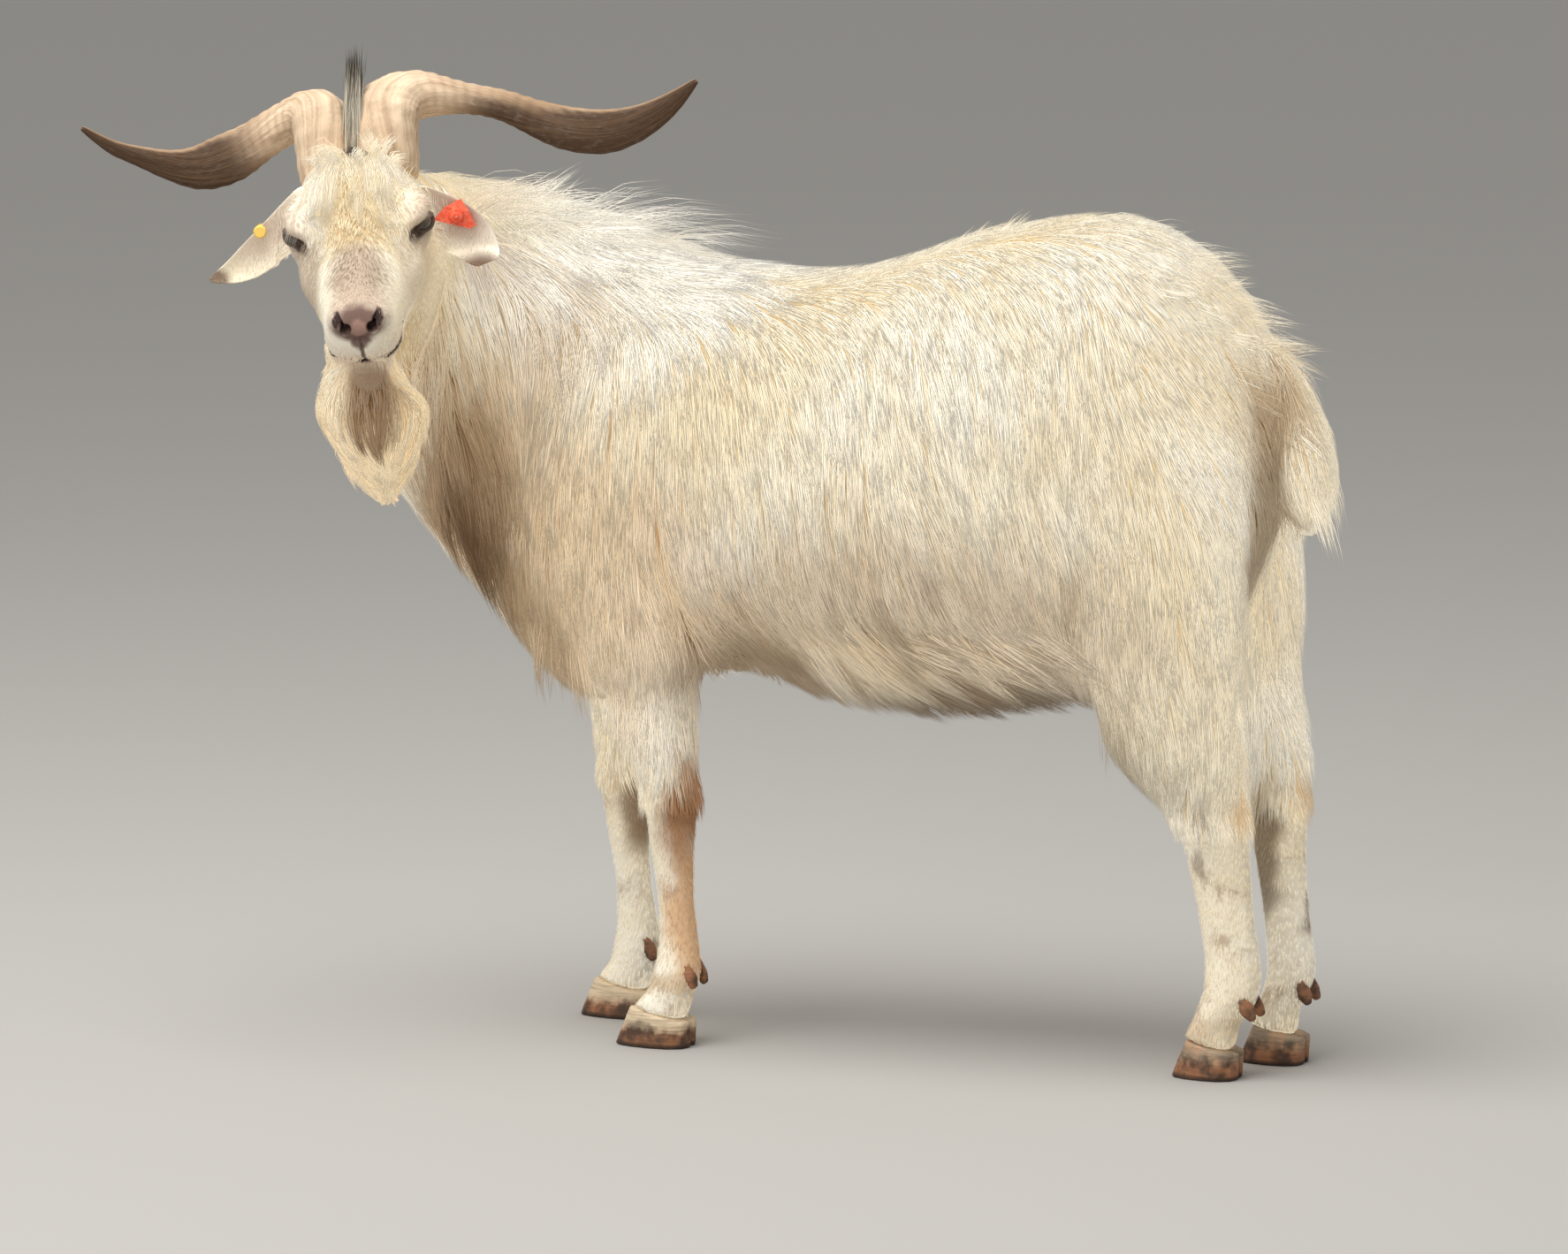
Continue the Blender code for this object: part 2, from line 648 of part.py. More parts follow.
# ---------------------------------------------------------------- ears
# Along each ear on the same axes: out, up, back, and the half width.
EARS = {
    "left": [
        (0.046, 0.012, 0.045, 0.014),
        (0.074, -0.006, 0.049, 0.0175),
        (0.087, -0.018, 0.050, 0.0215),
        (0.099, -0.031, 0.050, 0.0240),
        (0.110, -0.048, 0.048, 0.0210),
        (0.116, -0.060, 0.046, 0.0170),
        (0.119, -0.068, 0.044, 0.0110),
    ],
    "right": [
        (0.044, 0.022, 0.045, 0.014),
        (0.063, 0.004, 0.049, 0.0165),
        (0.076, -0.010, 0.050, 0.0185),
        (0.092, -0.024, 0.050, 0.0190),
        (0.111, -0.037, 0.050, 0.0175),
        (0.130, -0.046, 0.048, 0.0120),
        (0.153, -0.051, 0.046, 0.0025),
    ],
}
EAR_THICKNESS = 0.0045
EAR_CUP = 0.010  # how far its edges come forward of its middle


def ear(side, across=5):
    sign = 1 if side == "left" else -1
    rows = smooth_rows(EARS[side], 1)
    path = np.column_stack([-rows[:, 2], sign * rows[:, 0], rows[:, 1]])
    ways = np.gradient(path, axis=0)
    rings = []
    for number, (at, way, half_width) in enumerate(zip(path, ways, rows[:, 3])):
        way = Vector(way).normalized()
        face = (Vector((1, 0, 0)) - way * way.x).normalized()
        width = way.cross(face)
        cup = EAR_CUP * half_width / 0.024
        thick = EAR_THICKNESS * (1.6 - number / len(rows))
        ring = []
        for layer, order in ((0.5, 1), (-0.5, -1)):
            for s in np.linspace(-1, 1, across)[::order]:
                edge = 1 - 0.75 * s * s
                forward = cup * (s * s - 0.5) + layer * thick * edge
                ring.append(LEVEL @ (Vector(at) + width * (s * half_width) + face * forward))
        rings.append(np.array(ring))
    return loft(rings)


# ---------------------------------------------------------------- ear tags
TAG_STUD = 0.0032  # radius
TAGS = {  # where the stud meets the ear, on the level axes, and its cap's radius
    "left": ((-0.050, 0.093, -0.014), 0.0075),
    "right": ((-0.050, -0.0985, -0.0090), 0.0065),
}
FLAP = [  # the folded flap, from the stud: across and down, on the face of the left ear
    (-0.023, -0.002),
    (-0.010, 0.009),
    (0.006, 0.015),
    (0.013, 0.002),
    (0.018, -0.012),
    (0.012, -0.015),
]


def ear_tag(side):
    """A cap in front of the ear, a stud through it and a button behind."""
    place, cap = TAGS[side]
    place = Vector(place)
    ahead = Vector((1, 0, 0))
    front, rear = place + ahead * 0.0125, place - ahead * 0.0125
    pieces = [
        cylinder(LEVEL @ rear, LEVEL @ front, TAG_STUD, segments=8),
        cylinder(LEVEL @ (front - ahead * 0.002), LEVEL @ (front + ahead * 0.0015), cap, cap * 0.8, 12),
        cylinder(LEVEL @ (rear - ahead * 0.0015), LEVEL @ (rear + ahead * 0.002), cap * 0.8, cap, 12),
    ]
    if side == "left":
        pieces.append(flap(place + ahead * 0.0105))
        pieces.append(cylinder(LEVEL @ front, LEVEL @ (front + ahead * 0.006), 0.004, 0.0022, 8))
    tag = add_object(f"eartag_{side}", pieces[0], GOAT)
    for number, piece in enumerate(pieces[1:]):
        boolean(tag, add_object(f"tag {side} {number}", piece, CUTTERS), "UNION")
    return tag


def flap(place):
    """A thin plate bent along its length."""
    bm = bmesh.new()
    layers = []
    for forward in (0.001, -0.001):
        corners = []
        for across, up in FLAP:
            bend = -0.25 * abs(up)
            corners.append(bm.verts.new(LEVEL @ (place + Vector((forward + bend, across, up)))))
        layers.append(corners)
    bm.faces.new(layers[0])
    bm.faces.new(layers[1][::-1])
    for i in range(len(FLAP)):
        j = (i + 1) % len(FLAP)
        bm.faces.new((layers[0][i], layers[1][i], layers[1][j], layers[0][j]))
    bmesh.ops.triangulate(bm, faces=bm.faces)
    return from_bmesh(bm, "flap")


# ---------------------------------------------------------------- beard
BEARD = [
    # x, y, z, half width, half depth
    (-0.530, -0.243, 0.702, 0.032, 0.030),
    (-0.522, -0.247, 0.668, 0.050, 0.036),
    (-0.515, -0.245, 0.648, 0.0600, 0.038),
    (-0.514, -0.240, 0.628, 0.0590, 0.038),
    (-0.515, -0.232, 0.606, 0.0500, 0.036),
    (-0.516, -0.222, 0.585, 0.0410, 0.032),
    (-0.519, -0.210, 0.565, 0.0330, 0.028),
    (-0.520, -0.200, 0.545, 0.0210, 0.020),
    (-0.520, -0.195, 0.533, 0.0070, 0.007),
]


def beard(sides=14):
    across, along = outline(sides, square=0.95)
    left = LEVEL.to_3x3().col[1]
    left = np.array([left.x, left.y]) / math.hypot(left.x, left.y)
    ahead = np.array([left[1], -left[0]])
    rings = []
    for x, y, z, half_width, half_depth in smooth_rows(BEARD, 1):
        plan = np.outer(across * half_width, left) + np.outer(along * half_depth, ahead)
        rings.append(np.column_stack([plan + np.array([x, y]), np.full(sides, z)]))
    return loft(rings)


# ---------------------------------------------------------------- hooves and dewclaws
CLAW_OUT = 0.0215  # from the cleft side's middle line out to the wall
CLAW_IN = 0.0045
CLEFT = 0.0012


def claw(foot, outer):
    """One of the two toes of a hoof, flat on the floor, its top on the coronet's slope."""
    x0, y0, top = FEET[foot]
    body_side = -1 if foot.endswith("left") else 1
    sign = body_side if outer else -body_side
    angle = np.linspace(0, 2 * np.pi, 12, endpoint=False)
    c, s = np.cos(angle), np.sin(angle)
    side = np.where(s > 0, CLAW_OUT * np.abs(s) ** 0.75, -CLAW_IN * np.abs(s) ** 0.6)
    side = side * (1 + 0.22 * c)
    rings = []
    for share in (0.0, 0.3, 1.0):
        length = CLAW_LENGTHS[foot.split("_")[0]] * (1 - 0.20 * share)
        x = x0 + 0.004 + 0.008 * share + length / 2 * c
        y = y0 + sign * (CLEFT + CLAW_IN + side * (0.97 if share == 0 else 1 - 0.06 * share))
        z = share * (top + CORONET_SLOPE * (x - x0) - GAP)
        rings.append(np.column_stack([x, y, np.maximum(z, 0)]))
    return loft(rings)


def dewclaw(foot, outer):
    """A small horny spur behind the fetlock."""
    kind, side = foot.split("_")
    rows = leg_rows(kind, side)
    x, y, z, half_length, half_width = rows[np.abs(rows[:, 2] - 0.080).argmin()]
    body_side = -1 if side == "left" else 1
    sign = body_side if outer else -body_side
    base = Vector((x + half_length * 0.45, y + sign * half_width * 0.55, 0.082))
    tip = Vector((x + half_length - 0.001, y + sign * half_width * 0.66, 0.060))
    angle = np.linspace(0, 2 * np.pi, 6, endpoint=False)
    turn = (tip - base).to_track_quat("Z", "Y").to_matrix()
    rings = []
    for share, radius in ((0.0, 0.0085), (0.6, 0.0080), (1.0, 0.0040)):
        rim = [turn @ Vector((math.cos(a) * radius, math.sin(a) * radius, 0)) for a in angle]
        rings.append(np.array([base.lerp(tip, share) + point for point in rim]))
    return loft(rings)


# ---------------------------------------------------------------- put together
def fit(name, around):
    """Take a hair's breadth more than the pieces around it out of a piece."""
    piece = GOAT.objects[name]
    for other in around:
        boolean(piece, grown(GOAT.objects[other], FIT, f"{other} for {name}"))
    keep_largest(piece)


def keep_largest(piece):
    shells = islands(piece.data)
    if len(shells) > 1:
        shells.sort(key=lambda mesh: len(mesh.vertices))
        old = piece.data
        piece.data = shells[-1]
        bpy.data.meshes.remove(old)


def recentre():
    """Move everything so that the origin is under the middle of the goat's bounding box."""
    places = [v.co for obj in GOAT.objects for v in obj.data.vertices]
    low = Vector([min(p[i] for p in places) for i in range(3)])
    high = Vector([max(p[i] for p in places) for i in range(3)])
    shift = Vector((-(low.x + high.x) / 2, -(low.y + high.y) / 2, -low.z))
    for obj in GOAT.objects:
        obj.data.transform(Matrix.Translation(shift))
    print("moved by", [round(c, 5) for c in shift])
    print("size", [round(c, 4) for c in high - low])
    return shift


def main():
    part_flesh(flesh())
    add_object("tail", tail(), GOAT, "coat")
    add_object("beard", beard(), GOAT, "coat")
    for side in ("left", "right"):
        sign = 1 if side == "left" else -1
        add_object(f"horn_{side}", horn(side), GOAT, "horn")
        add_object(f"ear_{side}", ear(side), GOAT, "coat")
        eye = ellipsoid(on_face(EYE_PLACE, sign), (EYE_RADIUS,) * 3, segments=10)
        add_object(f"eye_{side}", eye, GOAT, "eye")
    for foot in FEET:
        for outer, word in ((True, "outer"), (False, "inner")):
            add_object(f"hoof_{foot}_{word}", claw(foot, outer), GOAT, "hoof")
            add_object(f"dewclaw_{foot}_{word}", dewclaw(foot, outer), GOAT, "hoof")
            kind, side = foot.split("_")
            lower = f"{'foreleg' if kind == 'front' else 'hindleg'}_{side}_lower"
            fit(f"dewclaw_{foot}_{word}", [lower])
    fit("tail", ["trunk", "hindleg_left_upper", "hindleg_right_upper"])
    fit("beard", ["head", "neck"])
    for side, slot in (("left", "tag_orange"), ("right", "tag_yellow")):
        fit(f"horn_{side}", ["head"])
        tag = ear_tag(side)
        tag.data.materials.clear()
        tag.data.materials.append(material(slot))
        fit(f"ear_{side}", ["head", "neck", f"eartag_{side}"])
    for obj in GOAT.objects:
        for polygon in obj.data.polygons:
            polygon.material_index = 0
    shift = recentre()
    total = 0
    for obj in sorted(GOAT.objects, key=lambda o: o.name):
        count = triangle_count(obj.data)
        total += count
        print(obj.name, count)
    print("triangles", total)
    return shift


GOAT, CUTTERS = start_clean()
SHIFT = main()
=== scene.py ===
# %% [markdown]
# # A long-haired white buck, standing
#
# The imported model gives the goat's outline out to the tips of its coat, in plain solids. This
# lesson dresses it: one skin that lies under the coat, thousands of small locks of hair that
# grow from it, and finer horns, hooves and eyes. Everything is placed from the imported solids,
# so no piece needs fitting by eye.

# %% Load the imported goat
import json
import math
import bmesh
import bpy
import numpy as np
from mathutils import Matrix, Vector, noise
from mathutils.bvhtree import BVHTree
from mathutils.kdtree import KDTree

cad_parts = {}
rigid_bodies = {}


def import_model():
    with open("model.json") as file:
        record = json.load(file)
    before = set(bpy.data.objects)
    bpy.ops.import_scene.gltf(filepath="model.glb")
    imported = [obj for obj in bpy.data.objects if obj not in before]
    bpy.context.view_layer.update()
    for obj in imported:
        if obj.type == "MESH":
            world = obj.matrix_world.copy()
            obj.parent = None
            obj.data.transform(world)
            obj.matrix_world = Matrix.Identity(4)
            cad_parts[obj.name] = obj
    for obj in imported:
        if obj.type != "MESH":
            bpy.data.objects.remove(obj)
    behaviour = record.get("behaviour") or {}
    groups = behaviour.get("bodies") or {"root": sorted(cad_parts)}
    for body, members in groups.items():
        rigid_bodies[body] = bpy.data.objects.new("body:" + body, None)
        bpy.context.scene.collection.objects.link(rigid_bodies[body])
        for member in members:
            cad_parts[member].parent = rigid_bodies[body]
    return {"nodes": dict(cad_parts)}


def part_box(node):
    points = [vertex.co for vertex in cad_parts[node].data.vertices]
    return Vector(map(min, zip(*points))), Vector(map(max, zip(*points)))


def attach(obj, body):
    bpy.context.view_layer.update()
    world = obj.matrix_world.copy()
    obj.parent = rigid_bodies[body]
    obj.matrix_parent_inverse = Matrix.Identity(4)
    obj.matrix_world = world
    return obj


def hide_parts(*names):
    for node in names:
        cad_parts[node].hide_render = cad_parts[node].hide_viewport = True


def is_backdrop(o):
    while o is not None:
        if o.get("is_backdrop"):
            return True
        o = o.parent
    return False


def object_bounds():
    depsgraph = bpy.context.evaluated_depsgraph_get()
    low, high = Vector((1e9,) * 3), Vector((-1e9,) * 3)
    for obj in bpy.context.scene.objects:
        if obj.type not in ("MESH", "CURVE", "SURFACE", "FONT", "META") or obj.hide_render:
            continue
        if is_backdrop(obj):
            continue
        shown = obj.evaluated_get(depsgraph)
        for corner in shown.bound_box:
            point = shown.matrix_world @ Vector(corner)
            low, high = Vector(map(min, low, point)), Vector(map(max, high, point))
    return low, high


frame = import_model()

cad_low, cad_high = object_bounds()
print("solids reach", [round(high - low, 3) for low, high in zip(cad_low, cad_high)], "m")

# %% [markdown]
# The head is turned to the viewer, nodded and a little tilted. Lids, nostrils and lips are far
# easier to shape on axes that go with the head: forward down the bridge of the nose, left, and
# up off the bridge. The two eyeballs of the solids fix where these axes start. The rest of the
# goat is described from a point on the floor between its feet, with the head towards -X.

# %% The head's own axes, and the goat's
HEADING, NOD, TILT = math.radians(108.5), math.radians(32.0), math.radians(6.5)
EYE_FROM_BROW = Vector((0.004, 0.0575, -0.016))  # the left eye; the right one mirrors it
BROW_FROM_FEET = Vector((-0.542, -0.215, 0.822))
EYE_RADIUS = 0.0130
SET_DEEPER = Vector((-0.0050, 0.0010, 0.0))  # the visible ball, against the solid one
SIGNS = {"left": 1, "right": -1}


def head_axes(nod):
    ahead = Vector((-math.cos(HEADING), -math.sin(HEADING), 0))
    left = Vector((0, 0, 1)).cross(ahead)
    forward = math.cos(nod) * ahead - math.sin(nod) * Vector((0, 0, 1))
    axes = Matrix((forward, left, forward.cross(left))).transposed()
    return Matrix.Rotation(TILT, 3, ahead) @ axes


def box_middle(node):
    low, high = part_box(node)
    return (low + high) / 2


FACE_TURN = head_axes(NOD)
between_eyes = (box_middle("eye_left") + box_middle("eye_right")) / 2
BROW = between_eyes - FACE_TURN @ Vector((EYE_FROM_BROW.x, 0, EYE_FROM_BROW.z))
FEET = BROW - BROW_FROM_FEET
FACE = Matrix.Translation(BROW) @ FACE_TURN.to_4x4()
LEVEL = Matrix.Translation(BROW) @ head_axes(0.0).to_4x4()
FACE_ROWS = np.array(FACE_TURN)
LEVEL_ROWS = np.array(head_axes(0.0))
print("brow", [round(c, 4) for c in BROW], "floor between the feet", [round(c, 4) for c in FEET])


def on_face(places):
    """(forward, left, up) of each place on the head's axes."""
    return (places - np.array(BROW)) @ FACE_ROWS


def from_face(places):
    return places @ FACE_ROWS.T + np.array(BROW)


def ramp(values, low, high):
    """0 below low and 1 above high, with a soft rise between."""
    share = np.clip((values - low) / (high - low), 0.0, 1.0)
    return share * share * (3 - 2 * share)


def hill(values, middle, width):
    """1 at the middle, falling softly to 0 on both sides of it."""
    return np.exp(-((values - middle) / width) ** 2)


def unit(rows):
    """The same directions, one unit long."""
    return rows / np.maximum(np.linalg.norm(rows, axis=-1, keepdims=True), 1e-9)


# %% [markdown]
# A soft, even light from a large panel overhead and a broad fill, on a plain pale floor. The
# camera looks at the goat's left side from a little behind and slightly above, and from far
# enough away that the legs stay upright in the picture.

# %% Camera, floor and lights
AZIMUTH, ELEVATION, DISTANCE = math.radians(20.0), math.radians(7.5), 8.0
LENS, SENSOR = 187.3, 36.0  # mm
FLOOR_REACH = 40.0
FLOOR_GAP = 0.0005  # the hooves stand this much above the floor
WARM_WHITE = (1.0, 0.985, 0.96)
AIM = Vector((0.0463, 0.0778, 0.4111))
right = Vector((math.cos(AZIMUTH), math.sin(AZIMUTH), 0))
back = Vector((
    math.sin(AZIMUTH) * math.cos(ELEVATION),
    -math.cos(AZIMUTH) * math.cos(ELEVATION),
    math.sin(ELEVATION),
))
camera = bpy.data.objects.new("camera", bpy.data.cameras.new("camera"))
bpy.context.scene.collection.objects.link(camera)
camera.data.lens, camera.data.sensor_width = LENS, SENSOR
camera.matrix_world = (
    Matrix.Translation(AIM + back * DISTANCE)
    @ Matrix((right, back.cross(right), back)).transposed().to_4x4()
)
bpy.context.scene.camera = camera


def link(name, mesh):
    piece = bpy.data.objects.new(name, mesh)
    bpy.context.scene.collection.objects.link(piece)
    return piece


def from_bmesh(name, bm, smooth=True):
    mesh = bpy.data.meshes.new(name)
    bm.to_mesh(mesh)
    bm.free()
    if smooth:
        mesh.shade_smooth()
    return link(name, mesh)


def wear(piece, material):
    """Give a piece this material alone."""
    piece.data.materials.clear()
    piece.data.materials.append(material)


ground = bmesh.new()
bmesh.ops.create_grid(ground, x_segments=1, y_segments=1, size=FLOOR_REACH)
floor = from_bmesh("floor", ground, smooth=False)
floor.location.z = -FLOOR_GAP
pale = bpy.data.materials.new("pale floor")
pale.use_nodes = True
shader = pale.node_tree.nodes["Principled BSDF"]
shader.inputs["Base Color"].default_value = (0.42, 0.41, 0.39, 1)
shader.inputs["Roughness"].default_value = 0.9
wear(floor, pale)
floor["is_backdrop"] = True


def add_light(name, place, size, power, colour):
    """A round panel that faces the goat: size in metres, power in watts."""
    light = bpy.data.objects.new(name, bpy.data.lights.new(name, "AREA"))
    light.data.shape, light.data.size = "DISK", size
    light.data.energy, light.data.color = power, colour
    light.location = place
    light.rotation_euler = (AIM - Vector(place)).to_track_quat("-Z", "Y").to_euler()
    bpy.context.scene.collection.objects.link(light)


add_light("overhead panel", (-0.6, -1.4, 4.6), 4.0, 240, WARM_WHITE)
add_light("broad fill", (-1.5, -6.0, 2.2), 4.0, 66, (1.0, 0.985, 0.965))
world = bpy.data.worlds.new("studio")
bpy.context.scene.world = world
world.use_nodes = True
background = world.node_tree.nodes["Background"]
background.inputs["Color"].default_value = (*WARM_WHITE, 1)
background.inputs["Strength"].default_value = 0.55
bpy.context.scene.view_settings.view_transform = "Standard"

# %% [markdown]
# ## The skin
#
# The solids of the flesh are parted by thin cuts and have flat facets. One way to close them
# would be to join them edge by edge, but they don't share edges. A voxel remesh does it in one
# go: each solid is grown by a little over half a millimetre so that neighbours overlap, and the
# remesh wraps the lot in one even net. Balls plug the eye sockets and nostrils, because lids and
# nostrils are shaped afterwards, and a few more fill out the lower lip and the chin.

# %% Wrap the flesh in one net
SKIN_NET = 0.0030  # size of the net's meshes
OVERLAP = 0.0006  # how far each solid grows
PLUG = 0.0015  # how far the plug of an eye socket reaches past the eyeball
LEG_NODES = [
    f"{end}leg_{side}_{part}"
    for end in ("fore", "hind") for side in ("left", "right") for part in ("upper", "lower")
]
WRAPPED = ["head", "neck", "trunk", "tail", "beard"] + LEG_NODES
FLESH = WRAPPED + ["ear_left", "ear_right"]


def merged_copy(node, grow=0.0):
    """A node's surface as a bmesh, its loose triangles joined and grown outwards."""
    bm = bmesh.new()
    bm.from_mesh(frame["nodes"][node].data)
    bmesh.ops.remove_doubles(bm, verts=bm.verts, dist=1e-5)
    bm.normal_update()
    for vertex in bm.verts:
        vertex.co += vertex.normal * grow
    return bm


def add_to(bm, other):
    mesh = bpy.data.meshes.new("part")
    other.to_mesh(mesh)
    other.free()
    bm.from_mesh(mesh)
    bpy.data.meshes.remove(mesh)


def finished(piece):
    """The piece with its modifiers applied."""
    depsgraph = bpy.context.evaluated_depsgraph_get()
    mesh = bpy.data.meshes.new_from_object(piece.evaluated_get(depsgraph))
    piece.modifiers.clear()
    old, piece.data = piece.data, mesh
    bpy.data.meshes.remove(old)
    return piece


def remeshed(piece, voxel):
    net = piece.modifiers.new("net", "REMESH")
    net.mode, net.voxel_size = "VOXEL", voxel
    return finished(piece)


def rounded(name, node, grow, levels):
    """A node's surface, rounded with Subdivision Surface."""
    piece = from_bmesh(name, merged_copy(node, grow))
    surface = piece.modifiers.new("round", "SUBSURF")
    surface.levels = surface.render_levels = levels
    return finished(piece)


EYES = {
    side: box_middle(f"eye_{side}") + FACE_TURN @ Vector((SET_DEEPER.x, sign * SET_DEEPER.y, 0))
    for side, sign in SIGNS.items()
}
flesh = bmesh.new()
for node in WRAPPED:
    add_to(flesh, merged_copy(node, OVERLAP))
for place in EYES.values():
    bmesh.ops.create_icosphere(
        flesh, subdivisions=4, radius=EYE_RADIUS + PLUG, matrix=Matrix.Translation(place)
    )
FULLNESS = [  # forward, left and as far right, up, then the radii along the same axes
    (0.150, 0.0125, -0.0215, 0.0085, 0.0085, 0.0085),  # plug of the nostril
    (-0.004, 0.0460, -0.0200, 0.0340, 0.0250, 0.0260),  # rim of the eye socket
    (0.127, 0.0040, -0.0690, 0.0230, 0.0190, 0.0120),  # lower lip
    (0.118, 0.0040, -0.0800, 0.0220, 0.0180, 0.0150),  # chin
]
for forward, left, up, *radii in FULLNESS:
    for sign in (1, -1):
        place = FACE @ Matrix.Translation((forward, sign * left, up)) @ Matrix.Diagonal((*radii, 1))
        bmesh.ops.create_icosphere(flesh, subdivisions=3, radius=1, matrix=place)
skin = remeshed(from_bmesh("skin", flesh), SKIN_NET)
print("net of", len(skin.data.polygons), "faces")

# %% [markdown]
# The coat is two centimetres deep on the belly and neck and a millimetre on the shins, so the
# skin sinks by a depth that changes from place to place. Each region of the body has a weight
# between 0 and 1, soft at its edge, and one table says what the coat is like there. The same
# table later sets the locks' length, width and number, so skin and coat always agree.

# %% What the coat is like, region by region
# along the tail's middle: back from the feet and up
TAIL_LINE = [(0.300, 0.700), (0.327, 0.668), (0.345, 0.625), (0.354, 0.580), (0.352, 0.522)]


def regions(places, normals):
    """A dict of region -> weight at each place, in the order in which they overrule."""
    x, y, z = (places - np.array(FEET)).T
    f, l, u = on_face(places).T
    side = np.abs(y)
    top, under = ramp(normals[:, 2], 0.25, 0.8), ramp(-normals[:, 2], 0.05, 0.6)
    past_throat = (x + 0.566) * 0.10 - (y + 0.135) * 0.894 + (z - 0.790) * 0.447
    head = ramp(past_throat, -0.012, 0.012) * ramp(x, -0.74, -0.70) * ramp(-x, 0.40, 0.43)
    tail_x = np.interp(-z, [-c[1] for c in TAIL_LINE], [c[0] for c in TAIL_LINE])
    fore_x = -0.300 - 0.045 * (y > 0)
    fore = ramp(0.105 - np.abs(x - fore_x), 0.0, 0.03) * ramp(0.46 - z, 0.0, 0.06)
    hind = ramp(x, 0.115, 0.15) * ramp(0.50 - z, 0.0, 0.08)
    made = {}
    made["back"] = top
    made["belly"] = under * ramp(0.50 - z, 0.0, 0.08)
    made["rump"] = ramp(x, 0.14, 0.24) * ramp(z, 0.52, 0.64)
    made["thigh"] = hind
    made["shoulder"] = ramp(-x, 0.20, 0.30) * (1 - top) * ramp(z, 0.40, 0.50)
    made["chest"] = ramp(-x, 0.36, 0.42) * ramp(0.62 - z, 0.0, 0.08)
    made["neck"] = ramp(-x, 0.38, 0.46) * ramp(z, 0.54, 0.62)
    made["mane"] = ramp(-x, 0.16, 0.30) * ramp(normals[:, 2], 0.10, 0.5) * ramp(z, 0.70, 0.74)
    made["upper foreleg"] = fore
    made["gaskin"] = hind * ramp(0.36 - z, 0.0, 0.06)
    made["shank"] = ramp(0.285 - z, 0.0, 0.055)
    made["foot"] = ramp(0.10 - z, 0.0, 0.03)
    made["coronet"] = ramp(0.058 - z, 0.0, 0.014)
    made["tail"] = ramp(x, 0.318, 0.328) * ramp(0.058 - np.abs(x - tail_x), 0, 0.01) * (
        ramp(0.050 - side, 0, 0.006) * ramp(z, 0.50, 0.52)
    )
    made["jaw"] = head
    made["poll"] = head * ramp(-f, 0.035, 0.07) * ramp(u, -0.075, -0.035)
    made["face"] = head * ramp(f, -0.030, 0.020)
    made["forehead"] = head * ramp(0.072 - f, 0, 0.060) * ramp(u, -0.045, -0.005) * (
        ramp(0.055 - np.abs(l), 0, 0.018)
    )
    made["muzzle"] = head * ramp(f, 0.085, 0.120)
    ahead, out, _ = ((places - np.array(BROW)) @ LEVEL_ROWS).T
    made["ear"] = head * ramp(np.abs(out), 0.078, 0.088) * (
        ramp(0.038 - np.abs(ahead + 0.047), 0, 0.010)
    )
    from_chin = ((f - 0.128) / 0.034) ** 2 + (l / 0.024) ** 2 + ((u + 0.083) / 0.021) ** 2
    chin = 1 - ramp(np.sqrt(from_chin), 0.6, 1.3)
    made["beard"] = ramp(0.702 - z, 0.0, 0.022) * (
        ramp(-y, 0.185, 0.205) * ramp(-x, 0.43, 0.44) * (1 - chin)
    )
    return made


# depth, length, width in mm; locks per square cm; how much they hang free; how much they
# gather into clumps; how far they wave, in mm
COATS = {
    "side": (19, 98, 2.1, 5.4, 0.10, 0.50, 0.6),
    "back": (16, 70, 2.0, 5.6, 0.00, 0.40, 0.6),
    "belly": (22, 84, 2.1, 5.4, 0.60, 0.70, 2.5),
    "rump": (17, 60, 1.9, 5.9, 0.00, 0.35, 0.6),
    "thigh": (17, 82, 2.0, 5.7, 0.15, 0.50, 0.8),
    "shoulder": (19, 104, 2.1, 5.4, 0.10, 0.55, 0.8),
    "chest": (20, 88, 2.1, 5.4, 0.35, 0.60, 2.0),
    "neck": (19, 104, 2.1, 5.0, 0.15, 0.60, 1.0),
    "mane": (21, 120, 2.0, 5.4, 0.05, 0.60, 4.0),
    "upper foreleg": (11, 54, 1.9, 6.4, 0.15, 0.50, 0.8),
    "gaskin": (10, 48, 1.8, 6.6, 0.25, 0.50, 0.8),
    "shank": (1.6, 10, 1.0, 6.0, 0.00, 0.15, 0.3),
    "foot": (1.3, 8, 1.0, 7.0, 0.00, 0.10, 0.2),
    "coronet": (1.3, 19, 1.1, 10.0, 0.30, 0.30, 0.4),
    "tail": (12, 72, 2.2, 6.6, 0.10, 0.40, 1.5),
    "jaw": (3.5, 17, 1.2, 9.0, 0.05, 0.35, 1.0),
    "poll": (9, 42, 1.8, 9.0, 0.05, 0.45, 3.5),
    "forehead": (6, 28, 1.4, 11.0, 0.00, 0.55, 3.0),
    "face": (1.2, 9, 0.6, 14.0, 0.00, 0.20, 0.5),
    "muzzle": (0.8, 5, 0.45, 13.0, 0.00, 0.10, 0.2),
    "ear": (0.3, 9, 0.5, 12.0, 0.00, 0.20, 0.3),
    "beard": (13, 60, 2.0, 9.0, 0.25, 0.65, 2.5),
}
QUALITIES = ("depth", "length", "width", "number", "hang", "clump", "wave")
TO_METRES = np.array((1e-3, 1e-3, 1e-3, 1e4, 1, 1, 1e-3))  # one factor for each quality


def coat_at(places, normals):
    """Each quality of the coat at each place."""
    rows = np.tile(np.array(COATS["side"], float), (len(places), 1))
    for region, weight in regions(places, normals).items():
        weight = weight[:, None]
        rows = rows * (1 - weight) + np.array(COATS[region], float) * weight
    return dict(zip(QUALITIES, (rows * TO_METRES).T))


